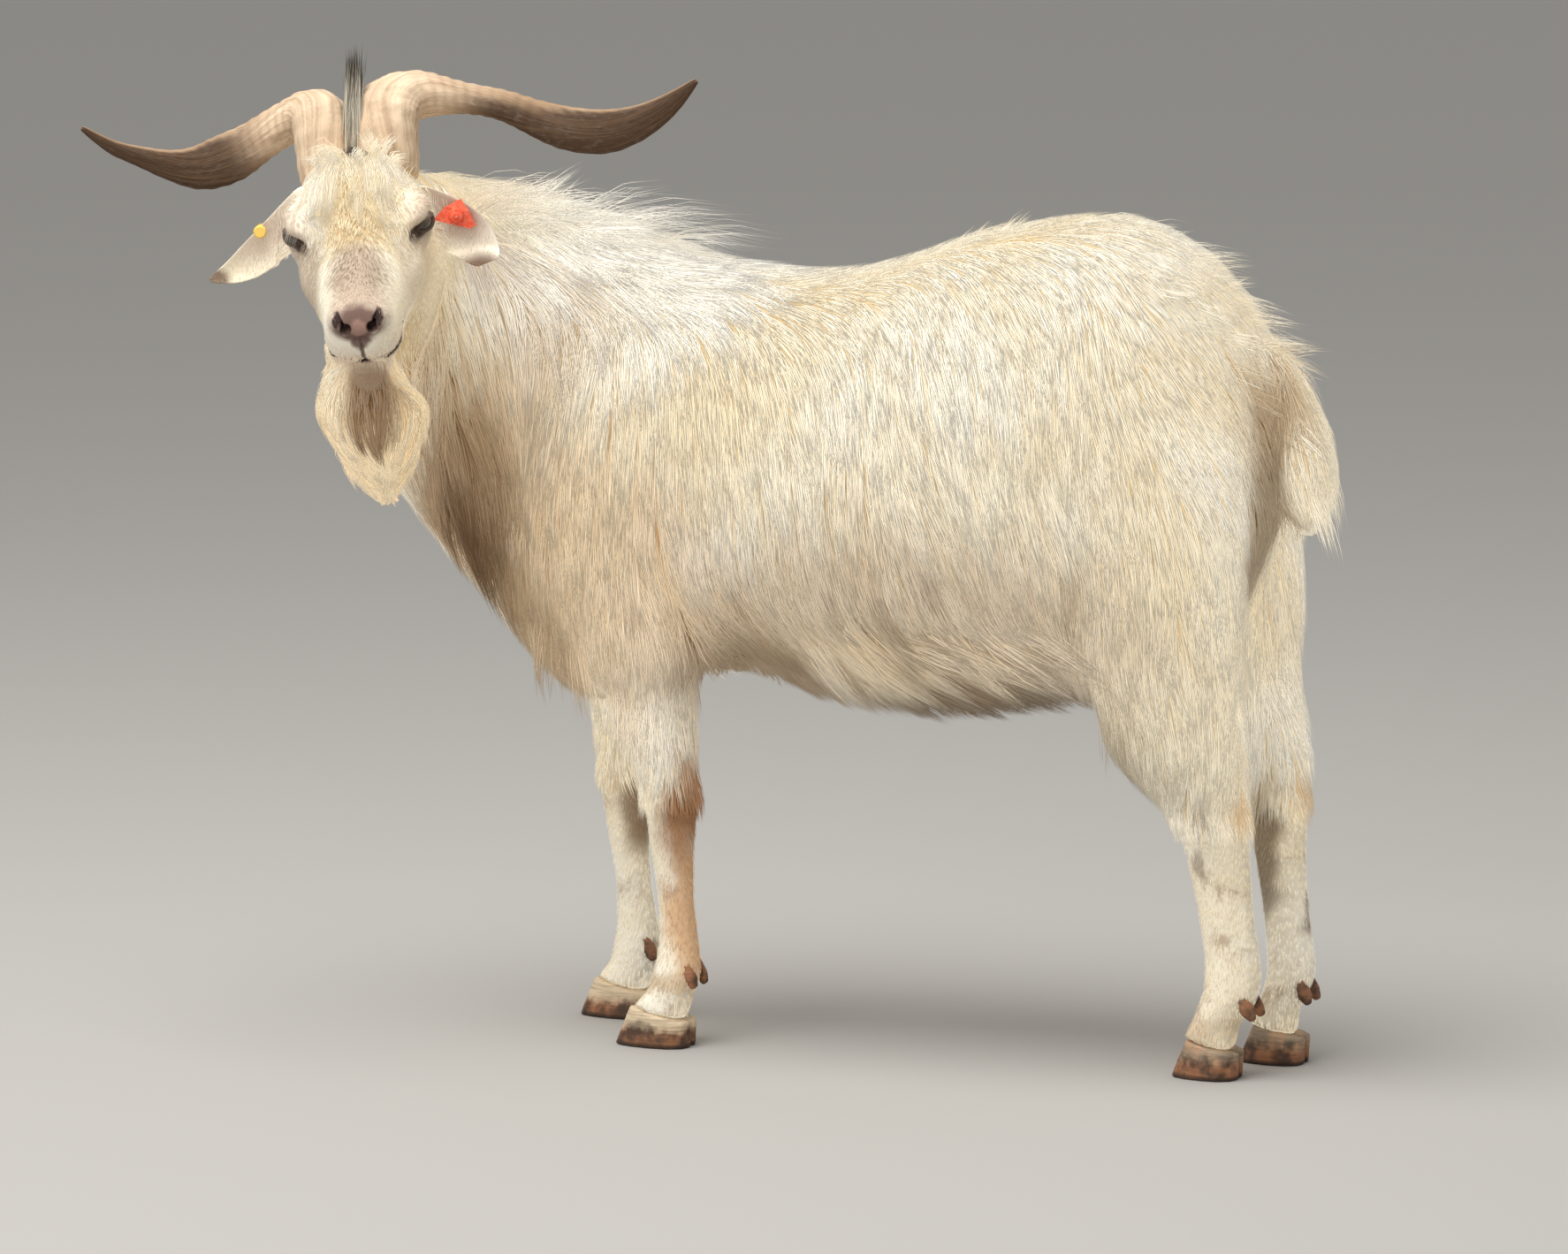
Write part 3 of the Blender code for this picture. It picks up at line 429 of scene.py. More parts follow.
# %% [markdown]
# The net is smoothed first, more on the body, whose facets are large, than on the shins, which
# would grow thin. Then it sinks in four small steps with a little smoothing after each, because
# one big step would fold the skin over itself in the armpits and under the throat.

# %% Smooth the skin and sink it under the coat
EASE_BODY, EASE_SHINS, EASE_SUNK = 34, 9, 3  # rounds of smoothing
SINK_STEPS = 4


def read(mesh, what="vertices", name="co", width=3):
    """One property of every vertex, corner or face as rows of numbers."""
    values = np.empty(len(getattr(mesh, what)) * width, np.float32)
    getattr(mesh, what).foreach_get(name, values)
    return values.reshape(-1, width).astype(float)


def edges_of(mesh):
    pairs = np.empty(len(mesh.edges) * 2, np.int32)
    mesh.edges.foreach_get("vertices", pairs)
    return pairs.reshape(-1, 2)


def relaxed(places, edges, times, weight):
    """Each place drawn towards the middle of its neighbours."""
    size = len(places)
    one, other = edges.T
    count = np.maximum(np.bincount(edges.ravel(), minlength=size), 1)
    for _ in range(times):
        middle = np.column_stack([
            np.bincount(one, places[other, axis], size)
            + np.bincount(other, places[one, axis], size)
            for axis in range(3)
        ]) / count[:, None]
        places = places + (middle - places) * weight[:, None]
    return places


def write(mesh, places):
    mesh.vertices.foreach_set("co", places.astype(np.float32).ravel())
    mesh.update()


places, normals = read(skin.data), read(skin.data, "vertex_normals", "vector")
edges = edges_of(skin.data)
here = regions(places, normals)
firm = np.clip(here["shank"] + here["jaw"] + here["tail"] + here["beard"], 0, 1)
places = relaxed(places, edges, EASE_BODY, 0.5 * (1 - firm))
places = relaxed(places, edges, EASE_SHINS, 0.5 * firm)
write(skin.data, places)
depth = coat_at(places, read(skin.data, "vertex_normals", "vector"))["depth"]
for _ in range(SINK_STEPS):
    normals = read(skin.data, "vertex_normals", "vector")
    sunk = read(skin.data) - normals * depth[:, None] / SINK_STEPS
    write(skin.data, relaxed(sunk, edges, EASE_SUNK, 0.5 * ramp(depth, 0.003, 0.010)))
print("skin lies", round(depth.min() * 1000, 1), "to", round(depth.max() * 1000, 1), "mm deep")

# %% [markdown]
# Hidden under long hair, the body needs few faces, while the lids, nostrils and lips need
# meshes of about a millimetre. A Decimate modifier thins only the vertices in its group, and
# subdividing only the edges near a feature keeps the fine work where it shows.

# %% Thin the body, refine the face
FEATURES = [  # (forward, left, up), how far around it is refined
    ((0.006, 0.066, -0.016), 0.030),  # eyes
    ((0.006, -0.066, -0.016), 0.030),
    ((0.150, 0.0, -0.025), 0.034),  # nose
    ((0.125, 0.020, -0.058), 0.028),  # mouth
    ((0.125, -0.020, -0.058), 0.028),
    ((0.140, 0.0, -0.056), 0.026),
]
DEEP_COAT, SHARE_KEPT = 0.0075, 0.06
covered = np.flatnonzero(depth > DEEP_COAT)
thinning = skin.vertex_groups.new(name="thinned")
thinning.add(covered.tolist(), 1.0, "REPLACE")
thin = skin.modifiers.new("thin", "DECIMATE")
thin.vertex_group = "thinned"
thin.vertex_group_factor = 1000.0  # leaves the rest of the skin alone
thin.ratio = 1 - (1 - SHARE_KEPT) * len(covered) / len(skin.data.vertices)
finished(skin)
skin.vertex_groups.clear()
fine = bmesh.new()
fine.from_mesh(skin.data)
for shrink in (1.0, 0.85):  # the second round stays inside the first
    on_head = on_face(np.array([vertex.co for vertex in fine.verts]))
    near = np.zeros(len(on_head), bool)
    for at, reach in FEATURES:
        near |= np.linalg.norm(on_head - np.array(at), axis=1) < reach * shrink
    fine.verts.index_update()
    chosen = [e for e in fine.edges if near[e.verts[0].index] and near[e.verts[1].index]]
    bmesh.ops.subdivide_edges(fine, edges=chosen, cuts=1, use_grid_fill=True)
bmesh.ops.triangulate(fine, faces=[face for face in fine.faces if len(face.verts) > 4])
fine.to_mesh(skin.data)
fine.free()
print("skin of", len(skin.data.polygons), "faces")

# %% [markdown]
# The solid head is a little narrow across the brows, and its mouth sits close under the nose.
# Moving the skin by soft weights on the head's axes broadens the one and lowers the other.

# %% Broaden the brows, lengthen the lip
LIP_DROP, BROADER = 0.009, 0.085
places = read(skin.data)
on_head = regions(places, read(skin.data, "vertex_normals", "vector"))["jaw"]
local = on_face(places)
forward, left, up = local.T
across = on_head * ramp(forward, -0.055, -0.015) * ramp(0.125 - forward, 0, 0.045)
across = across * ramp(up, -0.100, -0.050)
drop = on_head * ramp(forward, 0.085, 0.115) * ramp(-up, 0.030, 0.056) * ramp(up, -0.145, -0.100)
local[:, 1] = left * (1 + BROADER * across)
local[:, 2] = up - LIP_DROP * drop
write(skin.data, from_face(local))
print("brows", round(BROADER * 100, 1), "% broader, mouth", LIP_DROP * 1000, "mm lower")

# %% [markdown]
# ## Lids, nostrils and lips
#
# The lids are not flaps stuck on. The skin around each eye is laid on a sphere a little larger
# than the eyeball, and inside the almond between the lids it dips behind the ball, so that the
# lids grip it as real ones do. The upper lid hangs half over the eye. A fold above, a brow over
# it and a groove down from the inner corner give the sleepy look of an old buck.

# %% Shape the lids
LID = 0.0022  # thickness
HALF_OPENING, UPPER, LOWER = 0.0160, 0.0056, 0.0062


def eye_centre(side):
    """The middle of an eyeball on the head's axes."""
    middle = EYE_FROM_BROW + SET_DEEPER
    return middle.x, SIGNS[side] * middle.y, middle.z


def eye_axes(side):
    """Out of the eye, towards its inner corner and up, on the head's axes."""
    sign = SIGNS[side]
    gaze = Vector((0.80, sign * 0.58, 0.08)).normalized()
    towards_nose = Vector((0.6, -sign, -0.15))
    inner = (towards_nose - gaze * gaze.dot(towards_nose)).normalized()
    upward = inner.cross(gaze) * -sign
    if upward.z < 0:
        upward = -upward
    return np.array((gaze, inner, upward))


def shape_lids(local, side):
    centre = np.array(eye_centre(side))
    out, inward, upward = ((local - centre) @ eye_axes(side).T).T
    reach = np.sqrt(out ** 2 + inward ** 2 + upward ** 2)
    share = np.clip(1 - (inward / HALF_OPENING) ** 2, -3.0, 1)
    limit = np.where(upward > 0, UPPER, LOWER) * share
    outside = (np.abs(upward) - limit) / np.sqrt(1 + (2 * 0.005 * inward / HALF_OPENING ** 2) ** 2)
    lid = EYE_RADIUS + LID * (1 - 0.35 * ramp(outside, 0.002, 0.007))
    lid = lid + 0.0008 * hill(outside, 0.0012, 0.0012) * (outside > 0)  # a thicker rim
    lid = lid - 0.0012 * hill(outside, 0.0062, 0.0014) * (upward > 0)  # the fold above
    wanted = np.where(outside > 0.0006, lid, EYE_RADIUS - 0.0035)  # behind the ball
    wanted = np.where((outside > 0) & (outside <= 0.0006), EYE_RADIUS - 0.001, wanted)
    weight = (1 - ramp(np.abs(outside), 0.0050, 0.0150)) * (out > 0) * (reach < 0.032)
    moved = centre + (local - centre) * (wanted / np.maximum(reach, 1e-6))[:, None]
    local = local + (moved - local) * weight[:, None]
    brow = np.exp(-((upward - 0.0150) / 0.0065) ** 2 - (inward / 0.018) ** 2) * (reach < 0.038)
    tear = np.exp(-((upward + 0.006 + (inward - 0.014) * 0.55) / 0.0028) ** 2) * (
        ramp(inward, 0.010, 0.016) * ramp(0.034 - inward, 0, 0.012) * (reach < 0.045)
    )
    bag = np.exp(-((upward + 0.0125) / 0.0022) ** 2 - (inward / 0.014) ** 2) * (reach < 0.030)
    push = (0.0052 * brow - 0.0020 * tear - 0.0010 * bag) * (out > -0.012)
    return local + push[:, None] * eye_axes(side)[0]


local = on_face(read(skin.data))
for side in SIGNS:
    local = shape_lids(local, side)
write(skin.data, from_face(local))
print("lids open", round((UPPER + LOWER) * 1000, 1), "mm over a ball of", EYE_RADIUS * 2000, "mm")

# %% [markdown]
# The nose pad is flat, a little swollen round the nostrils, and parted by a groove that runs
# down to the lip. A nostril is a comma: round at its inner end, with a slit that curves up and
# out. Each is pressed in along the way the nose points, so its rim stays crisp.

# %% Shape the nose and the lips
MOUTH_DOWN, MOUTH_RISE, MOUTH_REACH = 0.0575, 0.0075, 0.03  # its line curls up at both ends


def dent(local, at, radii, turn, depth, way):
    """Press an oval into the face: at and radii are (left, up), turn in degrees."""
    c, s = math.cos(math.radians(turn)), math.sin(math.radians(turn))
    across, along = local[:, 1] - at[0], local[:, 2] - at[1]
    one, other = (across * c + along * s) / radii[0], (-across * s + along * c) / radii[1]
    inside = 1 - ramp(np.sqrt(one ** 2 + other ** 2), 0.55, 1.25)
    inside = inside * (local[:, 0] > 0.128)
    return local + (inside * depth)[:, None] * np.array(way, float)


local = on_face(read(skin.data))
for sign in (1, -1):
    local = dent(local, (sign * 0.0140, -0.0175), (0.0080, 0.0100), 0, 0.0018, (1, sign * 0.3, 0.2))
for sign in (1, -1):
    local = dent(local, (sign * 0.0125, -0.0205), (0.0050, 0.0052), 0, 0.0095, (-1, 0, -0.1))
    local = dent(local, (sign * 0.0178, -0.0140), (0.0068, 0.0030), sign * 48, 0.0070, (-1, 0, 0))
forward, left, up = local.T
front = ramp(forward, 0.128, 0.142)
groove = hill(left, 0, 0.0013) * ramp(-up, 0.028, 0.034) * ramp(up, -0.067, -0.063) * front
off = up - (-MOUTH_DOWN - LIP_DROP + MOUTH_RISE * (left / MOUTH_REACH) ** 2)
lips = ramp(forward, 0.080, 0.096) * (np.abs(left) < 0.045)
crease = hill(off, 0, 0.0015) * lips
upper_lip = hill(off, 0.0060, 0.0040) * lips
lower_lip = hill(off, -0.0055, 0.0035) * lips * ramp(forward, 0.10, 0.12)
outward = unit(local - np.array((0.085, 0, -0.060)))  # away from the middle of the mouth
swell = 0.0012 * upper_lip + 0.0010 * lower_lip - 0.0042 * crease
local = local + outward * swell[:, None]
local[:, 0] -= 0.0018 * groove
write(skin.data, from_face(local))
print("lips, nostrils and the groove of the nose are shaped")

# %% [markdown]
# An ear is thinner than the net's meshes, which would tear it, so the ears are rounded with
# Subdivision Surface instead, sunk a little into the head, and joined to the same skin.

# %% Add the ears to the skin
SEAM = 0.010  # how far the ears sink into the head
ROLLED_BELOW, ROLL = -0.066, (0.45, 0.0, 0.70)  # on the head's axes
head_surface = BVHTree.FromPolygons(
    [tuple(c) for c in read(skin.data)], [tuple(p.vertices) for p in skin.data.polygons]
)


def ear(side):
    piece = rounded(f"ear_{side}_rounded", f"ear_{side}", 0.0004, 2)
    bm = bmesh.new()
    bm.from_mesh(piece.data)
    for vertex in bm.verts:
        _, normal, _, gap = head_surface.find_nearest(vertex.co)
        if gap < SEAM:
            vertex.co -= normal * SEAM * (1 - gap / SEAM)
        if side == "left":  # its end is rolled forward
            at = on_face(np.array([vertex.co]))[0]
            at += np.array(ROLL) * max(0.0, ROLLED_BELOW - at[2])
            vertex.co = from_face(at[None])[0]
    bpy.data.objects.remove(piece)
    return bm


whole = bmesh.new()
whole.from_mesh(skin.data)
for side in SIGNS:
    add_to(whole, ear(side))
bmesh.ops.triangulate(whole, faces=whole.faces)
whole.to_mesh(skin.data)
whole.free()
skin.data.shade_smooth()
print("skin with ears:", len(skin.data.polygons), "triangles")

# %% [markdown]
# ## Colours and markings
#
# The buck is cream white with yellower patches, most of all on the forehead. It is brown in the
# beard's middle, rusty behind a front shin and muddy on the legs. Painted shade darkens the
# throat, the belly (which is soiled as well), the lower side and wisps low on it, the armpit, the
# flank fold, the inside of the buttocks, the inner side of a far hind shin, the eye sockets and
# the chin. Skin and hair have to agree, so one node group holds every marking. It is given a place
# and answers with a colour. The skin gives it its own place, and each lock the place of its root.
# A marking is an oval with a soft edge, pulled out of shape by a noise.

# %% A short way to wire shader nodes
class Wiring:
    """Adds nodes to a tree. A value that is another node's output is linked, else it is set."""

    def __init__(self, tree):
        self.tree = tree

    def node(self, kind, values=(), **settings):
        made = self.tree.nodes.new("ShaderNode" + kind)
        for name, value in settings.items():
            setattr(made, name, value)
        for socket, value in dict(values).items():
            self.feed(made.inputs[socket], value)
        return made

    def feed(self, socket, value):
        if isinstance(value, bpy.types.NodeSocket):
            self.tree.links.new(value, socket)
        else:
            socket.default_value = value

    def mix(self, share, one, other, kind="MIX"):
        made = self.node("Mix", data_type="RGBA", blend_type=kind)
        for index, value in ((0, share), (6, one), (7, other)):
            self.feed(made.inputs[index], value)
        return made.outputs[2]

    def math(self, kind, *values):
        return self.node("Math", dict(enumerate(values)), operation=kind).outputs[0]

    def times(self, one, other):
        return self.math("MULTIPLY", one, other)

    def squares(self, one, other):
        """The squares of both, added."""
        return self.math("ADD", self.math("POWER", one, 2.0), self.math("POWER", other, 2.0))

    def vector(self, kind, *values):
        made = self.node("VectorMath", dict(enumerate(values)), operation=kind)
        return made.outputs["Value" if kind in ("LENGTH", "DOT_PRODUCT") else "Vector"]

    def stretched(self, place, by):
        return self.vector("MULTIPLY", place, by)

    def parts(self, place):
        """The three numbers of a place."""
        return self.node("SeparateXYZ", {0: place}).outputs

    def attribute(self, name, output="Fac"):
        return self.node("Attribute", attribute_name=name).outputs[output]

    def on_head(self, place):
        """The same place on the head's axes."""
        from_brow = self.vector("SUBTRACT", place, tuple(BROW))
        turned = [
            self.vector("DOT_PRODUCT", from_brow, tuple(FACE_TURN.col[axis])) for axis in range(3)
        ]
        return self.node("CombineXYZ", dict(enumerate(turned))).outputs[0]

    def spread(self, value, low, high, to_low=0.0, to_high=1.0):
        values = {0: value, 1: low, 2: high, 3: to_low, 4: to_high}
        return self.node("MapRange", values, interpolation_type="SMOOTHSTEP").outputs[0]

    def noise(self, place, scale, detail=3.0, roughness=0.55):
        values = {"Vector": place, "Scale": scale, "Detail": detail, "Roughness": roughness}
        return self.node("TexNoise", values).outputs["Fac"]

    def scatter(self, place, scale):
        """A vector that wanders with the place, for pulling patterns out of shape."""
        values = {"Vector": place, "Scale": scale, "Detail": 2.0}
        return self.vector(
            "SUBTRACT", self.node("TexNoise", values).outputs["Color"], (0.5, 0.5, 0.5)
        )


def paint(red, green, blue):
    """A screen colour of 0 to 255 as the shader's own, with alpha."""
    return (*[(c / 255 / 12.92 if c < 10 else ((c / 255 + 0.055) / 1.055) ** 2.4)
              for c in (red, green, blue)], 1.0)


# %% Every marking of the goat
CREAM, WHITE = paint(248, 237, 211), paint(252, 247, 233)
ON_BODY = [  # place from the feet, radii, screen colour, strength
    ((-0.340, -0.05, 0.780), (0.200, 0.14, 0.085), (255, 252, 243), 0.92),  # mane
    # belly: soil, darkened further with painted shade on the under side
    ((0.020, 0.00, 0.335), (0.290, 0.22, 0.095), (104, 84, 62), 0.90),  # belly
    # low on the side: its own tone, with painted shade that darkens the lower side
    ((-0.020, -0.15, 0.485), (0.300, 0.12, 0.120), (204, 182, 152), 0.66),  # low on the side
    ((-0.340, -0.12, 0.500), (0.160, 0.14, 0.190), (222, 194, 156), 0.60),  # shoulder
    # behind the elbow: a painted shadow in the armpit
    ((-0.205, -0.06, 0.420), (0.075, 0.14, 0.100), (140, 114, 84), 0.80),  # behind the elbow
    # flank fold: painted shade in the crease
    ((0.120, -0.02, 0.400), (0.070, 0.12, 0.080), (150, 130, 104), 0.65),  # flank fold
    # throat: a painted shadow down the front of the neck, darkest in its lower row
    ((-0.500, -0.11, 0.580), (0.075, 0.10, 0.190), (170, 138, 102), 0.85),  # throat
    ((-0.470, -0.10, 0.540), (0.060, 0.08, 0.140), (92, 64, 40), 0.84),
    ((-0.430, -0.05, 0.660), (0.090, 0.12, 0.130), (198, 170, 134), 0.62),  # side of the neck
    ((-0.415, -0.03, 0.460), (0.080, 0.13, 0.110), (176, 148, 114), 0.72),  # brisket
    ((-0.515, -0.235, 0.610), (0.085, 0.075, 0.110), (248, 226, 186), 0.75),  # beard
    ((-0.502, -0.275, 0.662), (0.034, 0.045, 0.036), (140, 106, 72), 0.90),
    ((0.312, -0.04, 0.664), (0.034, 0.05, 0.070), (186, 156, 116), 0.75),  # under the tail head
    # inside the buttocks: painted shade in the hollow between them
    ((0.315, -0.02, 0.530), (0.036, 0.07, 0.160), (150, 128, 98), 0.80),  # inside the buttocks
    ((-0.258, -0.070, 0.250), (0.024, 0.05, 0.085), (158, 106, 60), 0.90),  # rusty shin
    ((-0.254, -0.070, 0.130), (0.022, 0.05, 0.090), (218, 170, 118), 0.75),
    ((-0.350, 0.050, 0.215), (0.030, 0.045, 0.055), (132, 100, 66), 0.78),  # muddy knee
    ((-0.335, 0.060, 0.240), (0.030, 0.05, 0.060), (150, 116, 80), 0.60),
    ((0.316, -0.075, 0.278), (0.020, 0.05, 0.032), (228, 188, 128), 0.85),  # hocks
    ((0.338, 0.060, 0.286), (0.020, 0.05, 0.032), (206, 168, 112), 0.75),
    ((0.268, -0.075, 0.298), (0.016, 0.05, 0.010), (150, 132, 112), 0.70),
    ((0.268, -0.075, 0.215), (0.008, 0.05, 0.020), (150, 132, 112), 0.60),
    # inner cannon: painted shade on the far hind leg's inner side
    ((0.300, 0.040, 0.215), (0.020, 0.03, 0.100), (128, 108, 84), 0.80),  # inner cannon
    ((0.338, 0.050, 0.150), (0.010, 0.04, 0.022), (120, 90, 62), 0.75),
    ((-0.285, -0.070, 0.060), (0.050, 0.05, 0.016), (206, 176, 132), 0.60),  # pasterns
    ((0.270, -0.050, 0.050), (0.050, 0.05, 0.016), (196, 170, 136), 0.60),
]
# painted shade in the eye sockets, under the brows
SOCKET_SHADE = (158, 134, 114)
ON_HEAD = [  # (forward, left, up), radii, screen colour, strength
    ((-0.088, -0.003, 0.020), (0.024, 0.014, 0.040), (48, 38, 30), 0.97),  # dark parting
    ((0.000, 0.000, 0.005), (0.075, 0.040, 0.050), (232, 210, 166), 0.80),  # forelock
    ((0.095, 0.000, -0.004), (0.055, 0.034, 0.040), (166, 145, 124), 0.85),  # bridge
    ((0.085, 0.012, -0.006), (0.026, 0.010, 0.020), (176, 156, 140), 0.35),
    ((0.098, -0.013, -0.006), (0.018, 0.008, 0.020), (180, 160, 142), 0.30),
    ((0.040, 0.052, -0.040), (0.060, 0.026, 0.050), (222, 206, 184), 0.60),  # cheeks
    ((0.040, -0.052, -0.040), (0.060, 0.026, 0.050), (192, 174, 154), 0.75),
    ((0.010, 0.064, -0.014), (0.026, 0.020, 0.020), SOCKET_SHADE, 0.60),  # round the eyes
    ((0.010, -0.064, -0.014), (0.026, 0.020, 0.020), SOCKET_SHADE, 0.60),
    ((0.004, 0.066, 0.006), (0.034, 0.022, 0.018), (216, 196, 176), 0.70),  # brows
    ((0.004, -0.066, 0.006), (0.034, 0.022, 0.018), (216, 196, 176), 0.70),
    ((0.130, 0.000, -0.058), (0.034, 0.046, 0.034), (204, 184, 164), 0.80),  # lips
    ((-0.010, -0.148, -0.068), (0.022, 0.016, 0.012), (112, 84, 64), 0.85),  # edges of the ears
    ((0.006, 0.110, -0.074), (0.030, 0.032, 0.0115), (100, 72, 52), 0.95),
    # chin: a painted shadow under the muzzle
    ((0.134, 0.000, -0.092), (0.026, 0.026, 0.020), (186, 162, 140), 0.70),  # chin
    ((0.138, 0.000, -0.008), (0.034, 0.046, 0.030), (192, 172, 152), 0.80),  # above the nose
    ((-0.047, 0.105, -0.020), (0.050, 0.050, 0.070), (198, 178, 166), 0.75),  # ears
    ((-0.047, -0.105, -0.020), (0.050, 0.050, 0.070), (216, 198, 186), 0.65),
]


def add_marking(w, colour, place, at, radii, shade, strength, softness=0.45):
    """Lay one soft oval of colour over what is there."""
    apart = w.vector("DIVIDE", w.vector("SUBTRACT", place, at), radii)
    share = w.spread(w.vector("LENGTH", apart), softness, 1.15, strength, 0.0)
    return w.mix(share, colour, paint(*shade))


MARKINGS = bpy.data.node_groups.new("markings", "ShaderNodeTree")
for socket, kind, way in (("Place", "Vector", "INPUT"), ("Color", "Color", "OUTPUT")):
    MARKINGS.interface.new_socket(socket, in_out=way, socket_type="NodeSocket" + kind)
w = Wiring(MARKINGS)
out = MARKINGS.nodes.new("NodeGroupOutput")
place = MARKINGS.nodes.new("NodeGroupInput").outputs["Place"]
from_feet = w.vector("SUBTRACT", place, tuple(FEET))
jitter = w.stretched(w.scatter(from_feet, 16.0), (0.05, 0.05, 0.05))
body_place = w.vector("ADD", from_feet, jitter)
face_place = w.vector("ADD", w.on_head(place), w.stretched(jitter, (0.2, 0.2, 0.2)))
colour = w.mix(w.spread(w.noise(from_feet, 7.0, 4.0, 0.6), 0.35, 0.70), CREAM, WHITE)
yellowing = w.spread(w.noise(from_feet, 4.2, 2.0), 0.50, 0.72, 0.0, 0.32)
colour = w.mix(yellowing, colour, paint(240, 224, 188))
for where, rows in ((body_place, ON_BODY), (face_place, ON_HEAD)):
    for row in rows:
        colour = add_marking(w, colour, where, *row)
along_body, _, height = w.parts(from_feet)
mud = w.spread(w.noise(from_feet, 34.0, 4.0, 0.65), 0.52, 0.70, 0.0, 0.55)
on_legs = w.spread(height, 0.24, 0.34, 1.0, 0.0)
colour = w.mix(w.times(mud, on_legs), colour, paint(158, 124, 88))
# Painted shade in wisps low on the middle of the body, where the locks part over the under side.
mid_body = w.spread(w.math("ABSOLUTE", along_body), 0.12, 0.24, 1.0, 0.0)
low_side = w.times(w.spread(height, 0.46, 0.60, 1.0, 0.0), mid_body)
wisps = w.noise(w.stretched(from_feet, (1.0, 0.6, 0.25)), 44.0, 2.0, 0.5)
shaded = w.times(w.spread(wisps, 0.50, 0.64, 0.0, 0.62), low_side)
colour = w.mix(shaded, colour, paint(136, 112, 84))
w.feed(out.inputs["Color"], colour)
print("markings:", len(ON_BODY), "on the body,", len(ON_HEAD), "on the head")

# %% [markdown]
# The skin is seen on the face, the ears and the shins, where the hair is short and flat. That
# hair is a fine bump with faint flecks. The nose pad, the lips and the rims of the lids are bare,
# so they are darker. The nostrils, the line of the mouth and the edges of the lids are painted
# darker still, as painted shade in these hollows and creases.

# %% The skin's material
def new_material(name, roughness, specular):
    material = bpy.data.materials.new(name)
    material.use_nodes = True
    shader = material.node_tree.nodes["Principled BSDF"]
    shader.inputs["Roughness"].default_value = roughness
    shader.inputs["Specular IOR Level"].default_value = specular
    return material, Wiring(material.node_tree), shader


def bumped(wiring, shader, height, strength, distance):
    values = {"Height": height, "Strength": strength, "Distance": distance}
    wiring.feed(shader.inputs["Normal"], wiring.node("Bump", values).outputs["Normal"])


def marked(w, place):
    """The goat's colour at a place."""
    return w.node("Group", {"Place": place}, node_tree=MARKINGS).outputs["Color"]


short_coat, w, shader = new_material("skin and short hair", 0.72, 0.25)
place = w.node("TexCoord").outputs["Object"]
flecks = w.spread(w.noise(place, 420.0, 4.0, 0.7), 0.30, 0.75, 0.0, 0.22)
colour = w.mix(flecks, marked(w, place), paint(206, 188, 162), "MULTIPLY")
wobble = w.stretched(w.scatter(place, 90.0), (0.008, 0.008, 0.008))
on_axes = w.vector("ADD", w.on_head(place), wobble)
NOSE_BROWN, NOSTRIL_SHADE = (98, 72, 64), (44, 26, 24)
BARE_AND_SHADED = [  # (forward, left, up), radii, screen colour, strength
    ((0.150, 0.000, -0.0190), (0.030, 0.0290, 0.0165), NOSE_BROWN, 0.95),  # nose pad
    ((0.152, 0.000, -0.0330), (0.024, 0.0100, 0.0120), NOSE_BROWN, 0.90),
    ((0.158, 0.000, -0.0190), (0.014, 0.0100, 0.0085), (160, 126, 114), 0.75),
    ((0.152, 0.000, -0.0500), (0.018, 0.0026, 0.0160), NOSE_BROWN, 0.85),  # groove to the lip
    # nostrils: their openings painted dark, painted shade in the hollows
    ((0.150, 0.0130, -0.0205), (0.014, 0.0058, 0.0060), NOSTRIL_SHADE, 1.00),  # nostrils
    ((0.150, -0.0130, -0.0205), (0.014, 0.0058, 0.0060), NOSTRIL_SHADE, 1.00),
    ((0.148, 0.0190, -0.0140), (0.014, 0.0058, 0.0044), NOSTRIL_SHADE, 0.95),
    ((0.148, -0.0190, -0.0140), (0.014, 0.0058, 0.0044), NOSTRIL_SHADE, 0.95),
]
for row in BARE_AND_SHADED:
    colour = add_marking(w, colour, on_axes, *row, softness=0.62)
# The line of the mouth is painted dark: painted shade in the crease between the lips.
ahead, aside, height = w.parts(on_axes)
curl = w.times(w.math("POWER", w.math("DIVIDE", aside, MOUTH_REACH), 2.0), MOUTH_RISE)
off_line = w.math("SUBTRACT", w.math("ADD", height, MOUTH_DOWN + LIP_DROP), curl)
mouth_shade = w.spread(w.math("ABSOLUTE", off_line), 0.0012, 0.0056, 1.0, 0.0)
colour = w.mix(w.times(mouth_shade, w.spread(ahead, 0.090, 0.108)), colour, paint(66, 44, 38))
# Round each eye a dark rim is painted on the lids: partly dark lid skin, partly painted shade at
# the lids' edge.
for side in SIGNS:
    apart = w.vector("SUBTRACT", on_axes, eye_centre(side))
    out_of, inner, upward = [
        w.vector("DOT_PRODUCT", apart, tuple(axis)) for axis in eye_axes(side)
    ]
    almond = w.squares(w.math("DIVIDE", inner, 0.0200), w.math("DIVIDE", upward, 0.0074))
    rim_and_shade = w.times(w.spread(almond, 0.85, 2.0, 0.85, 0.0), w.spread(out_of, 0.0, 0.006))
    colour = w.mix(rim_and_shade, colour, paint(62, 44, 38))
w.feed(shader.inputs["Base Color"], colour)
hairs = w.noise(w.stretched(place, (1.0, 1.0, 0.28)), 900.0, 3.0, 0.6)
bumped(w, shader, hairs, 0.35, 0.0010)
wear(skin, short_coat)
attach(skin, "root")
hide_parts(*FLESH)

# %% [markdown]
# ## How the coat lies
#
# Hair runs backwards and down, away from the head. On the skin that is a vector field: at each
# place a wish, such as down and a little back, is laid flat on the skin. The wishes change
# softly from region to region and wander a little, so that locks never stand in ranks.

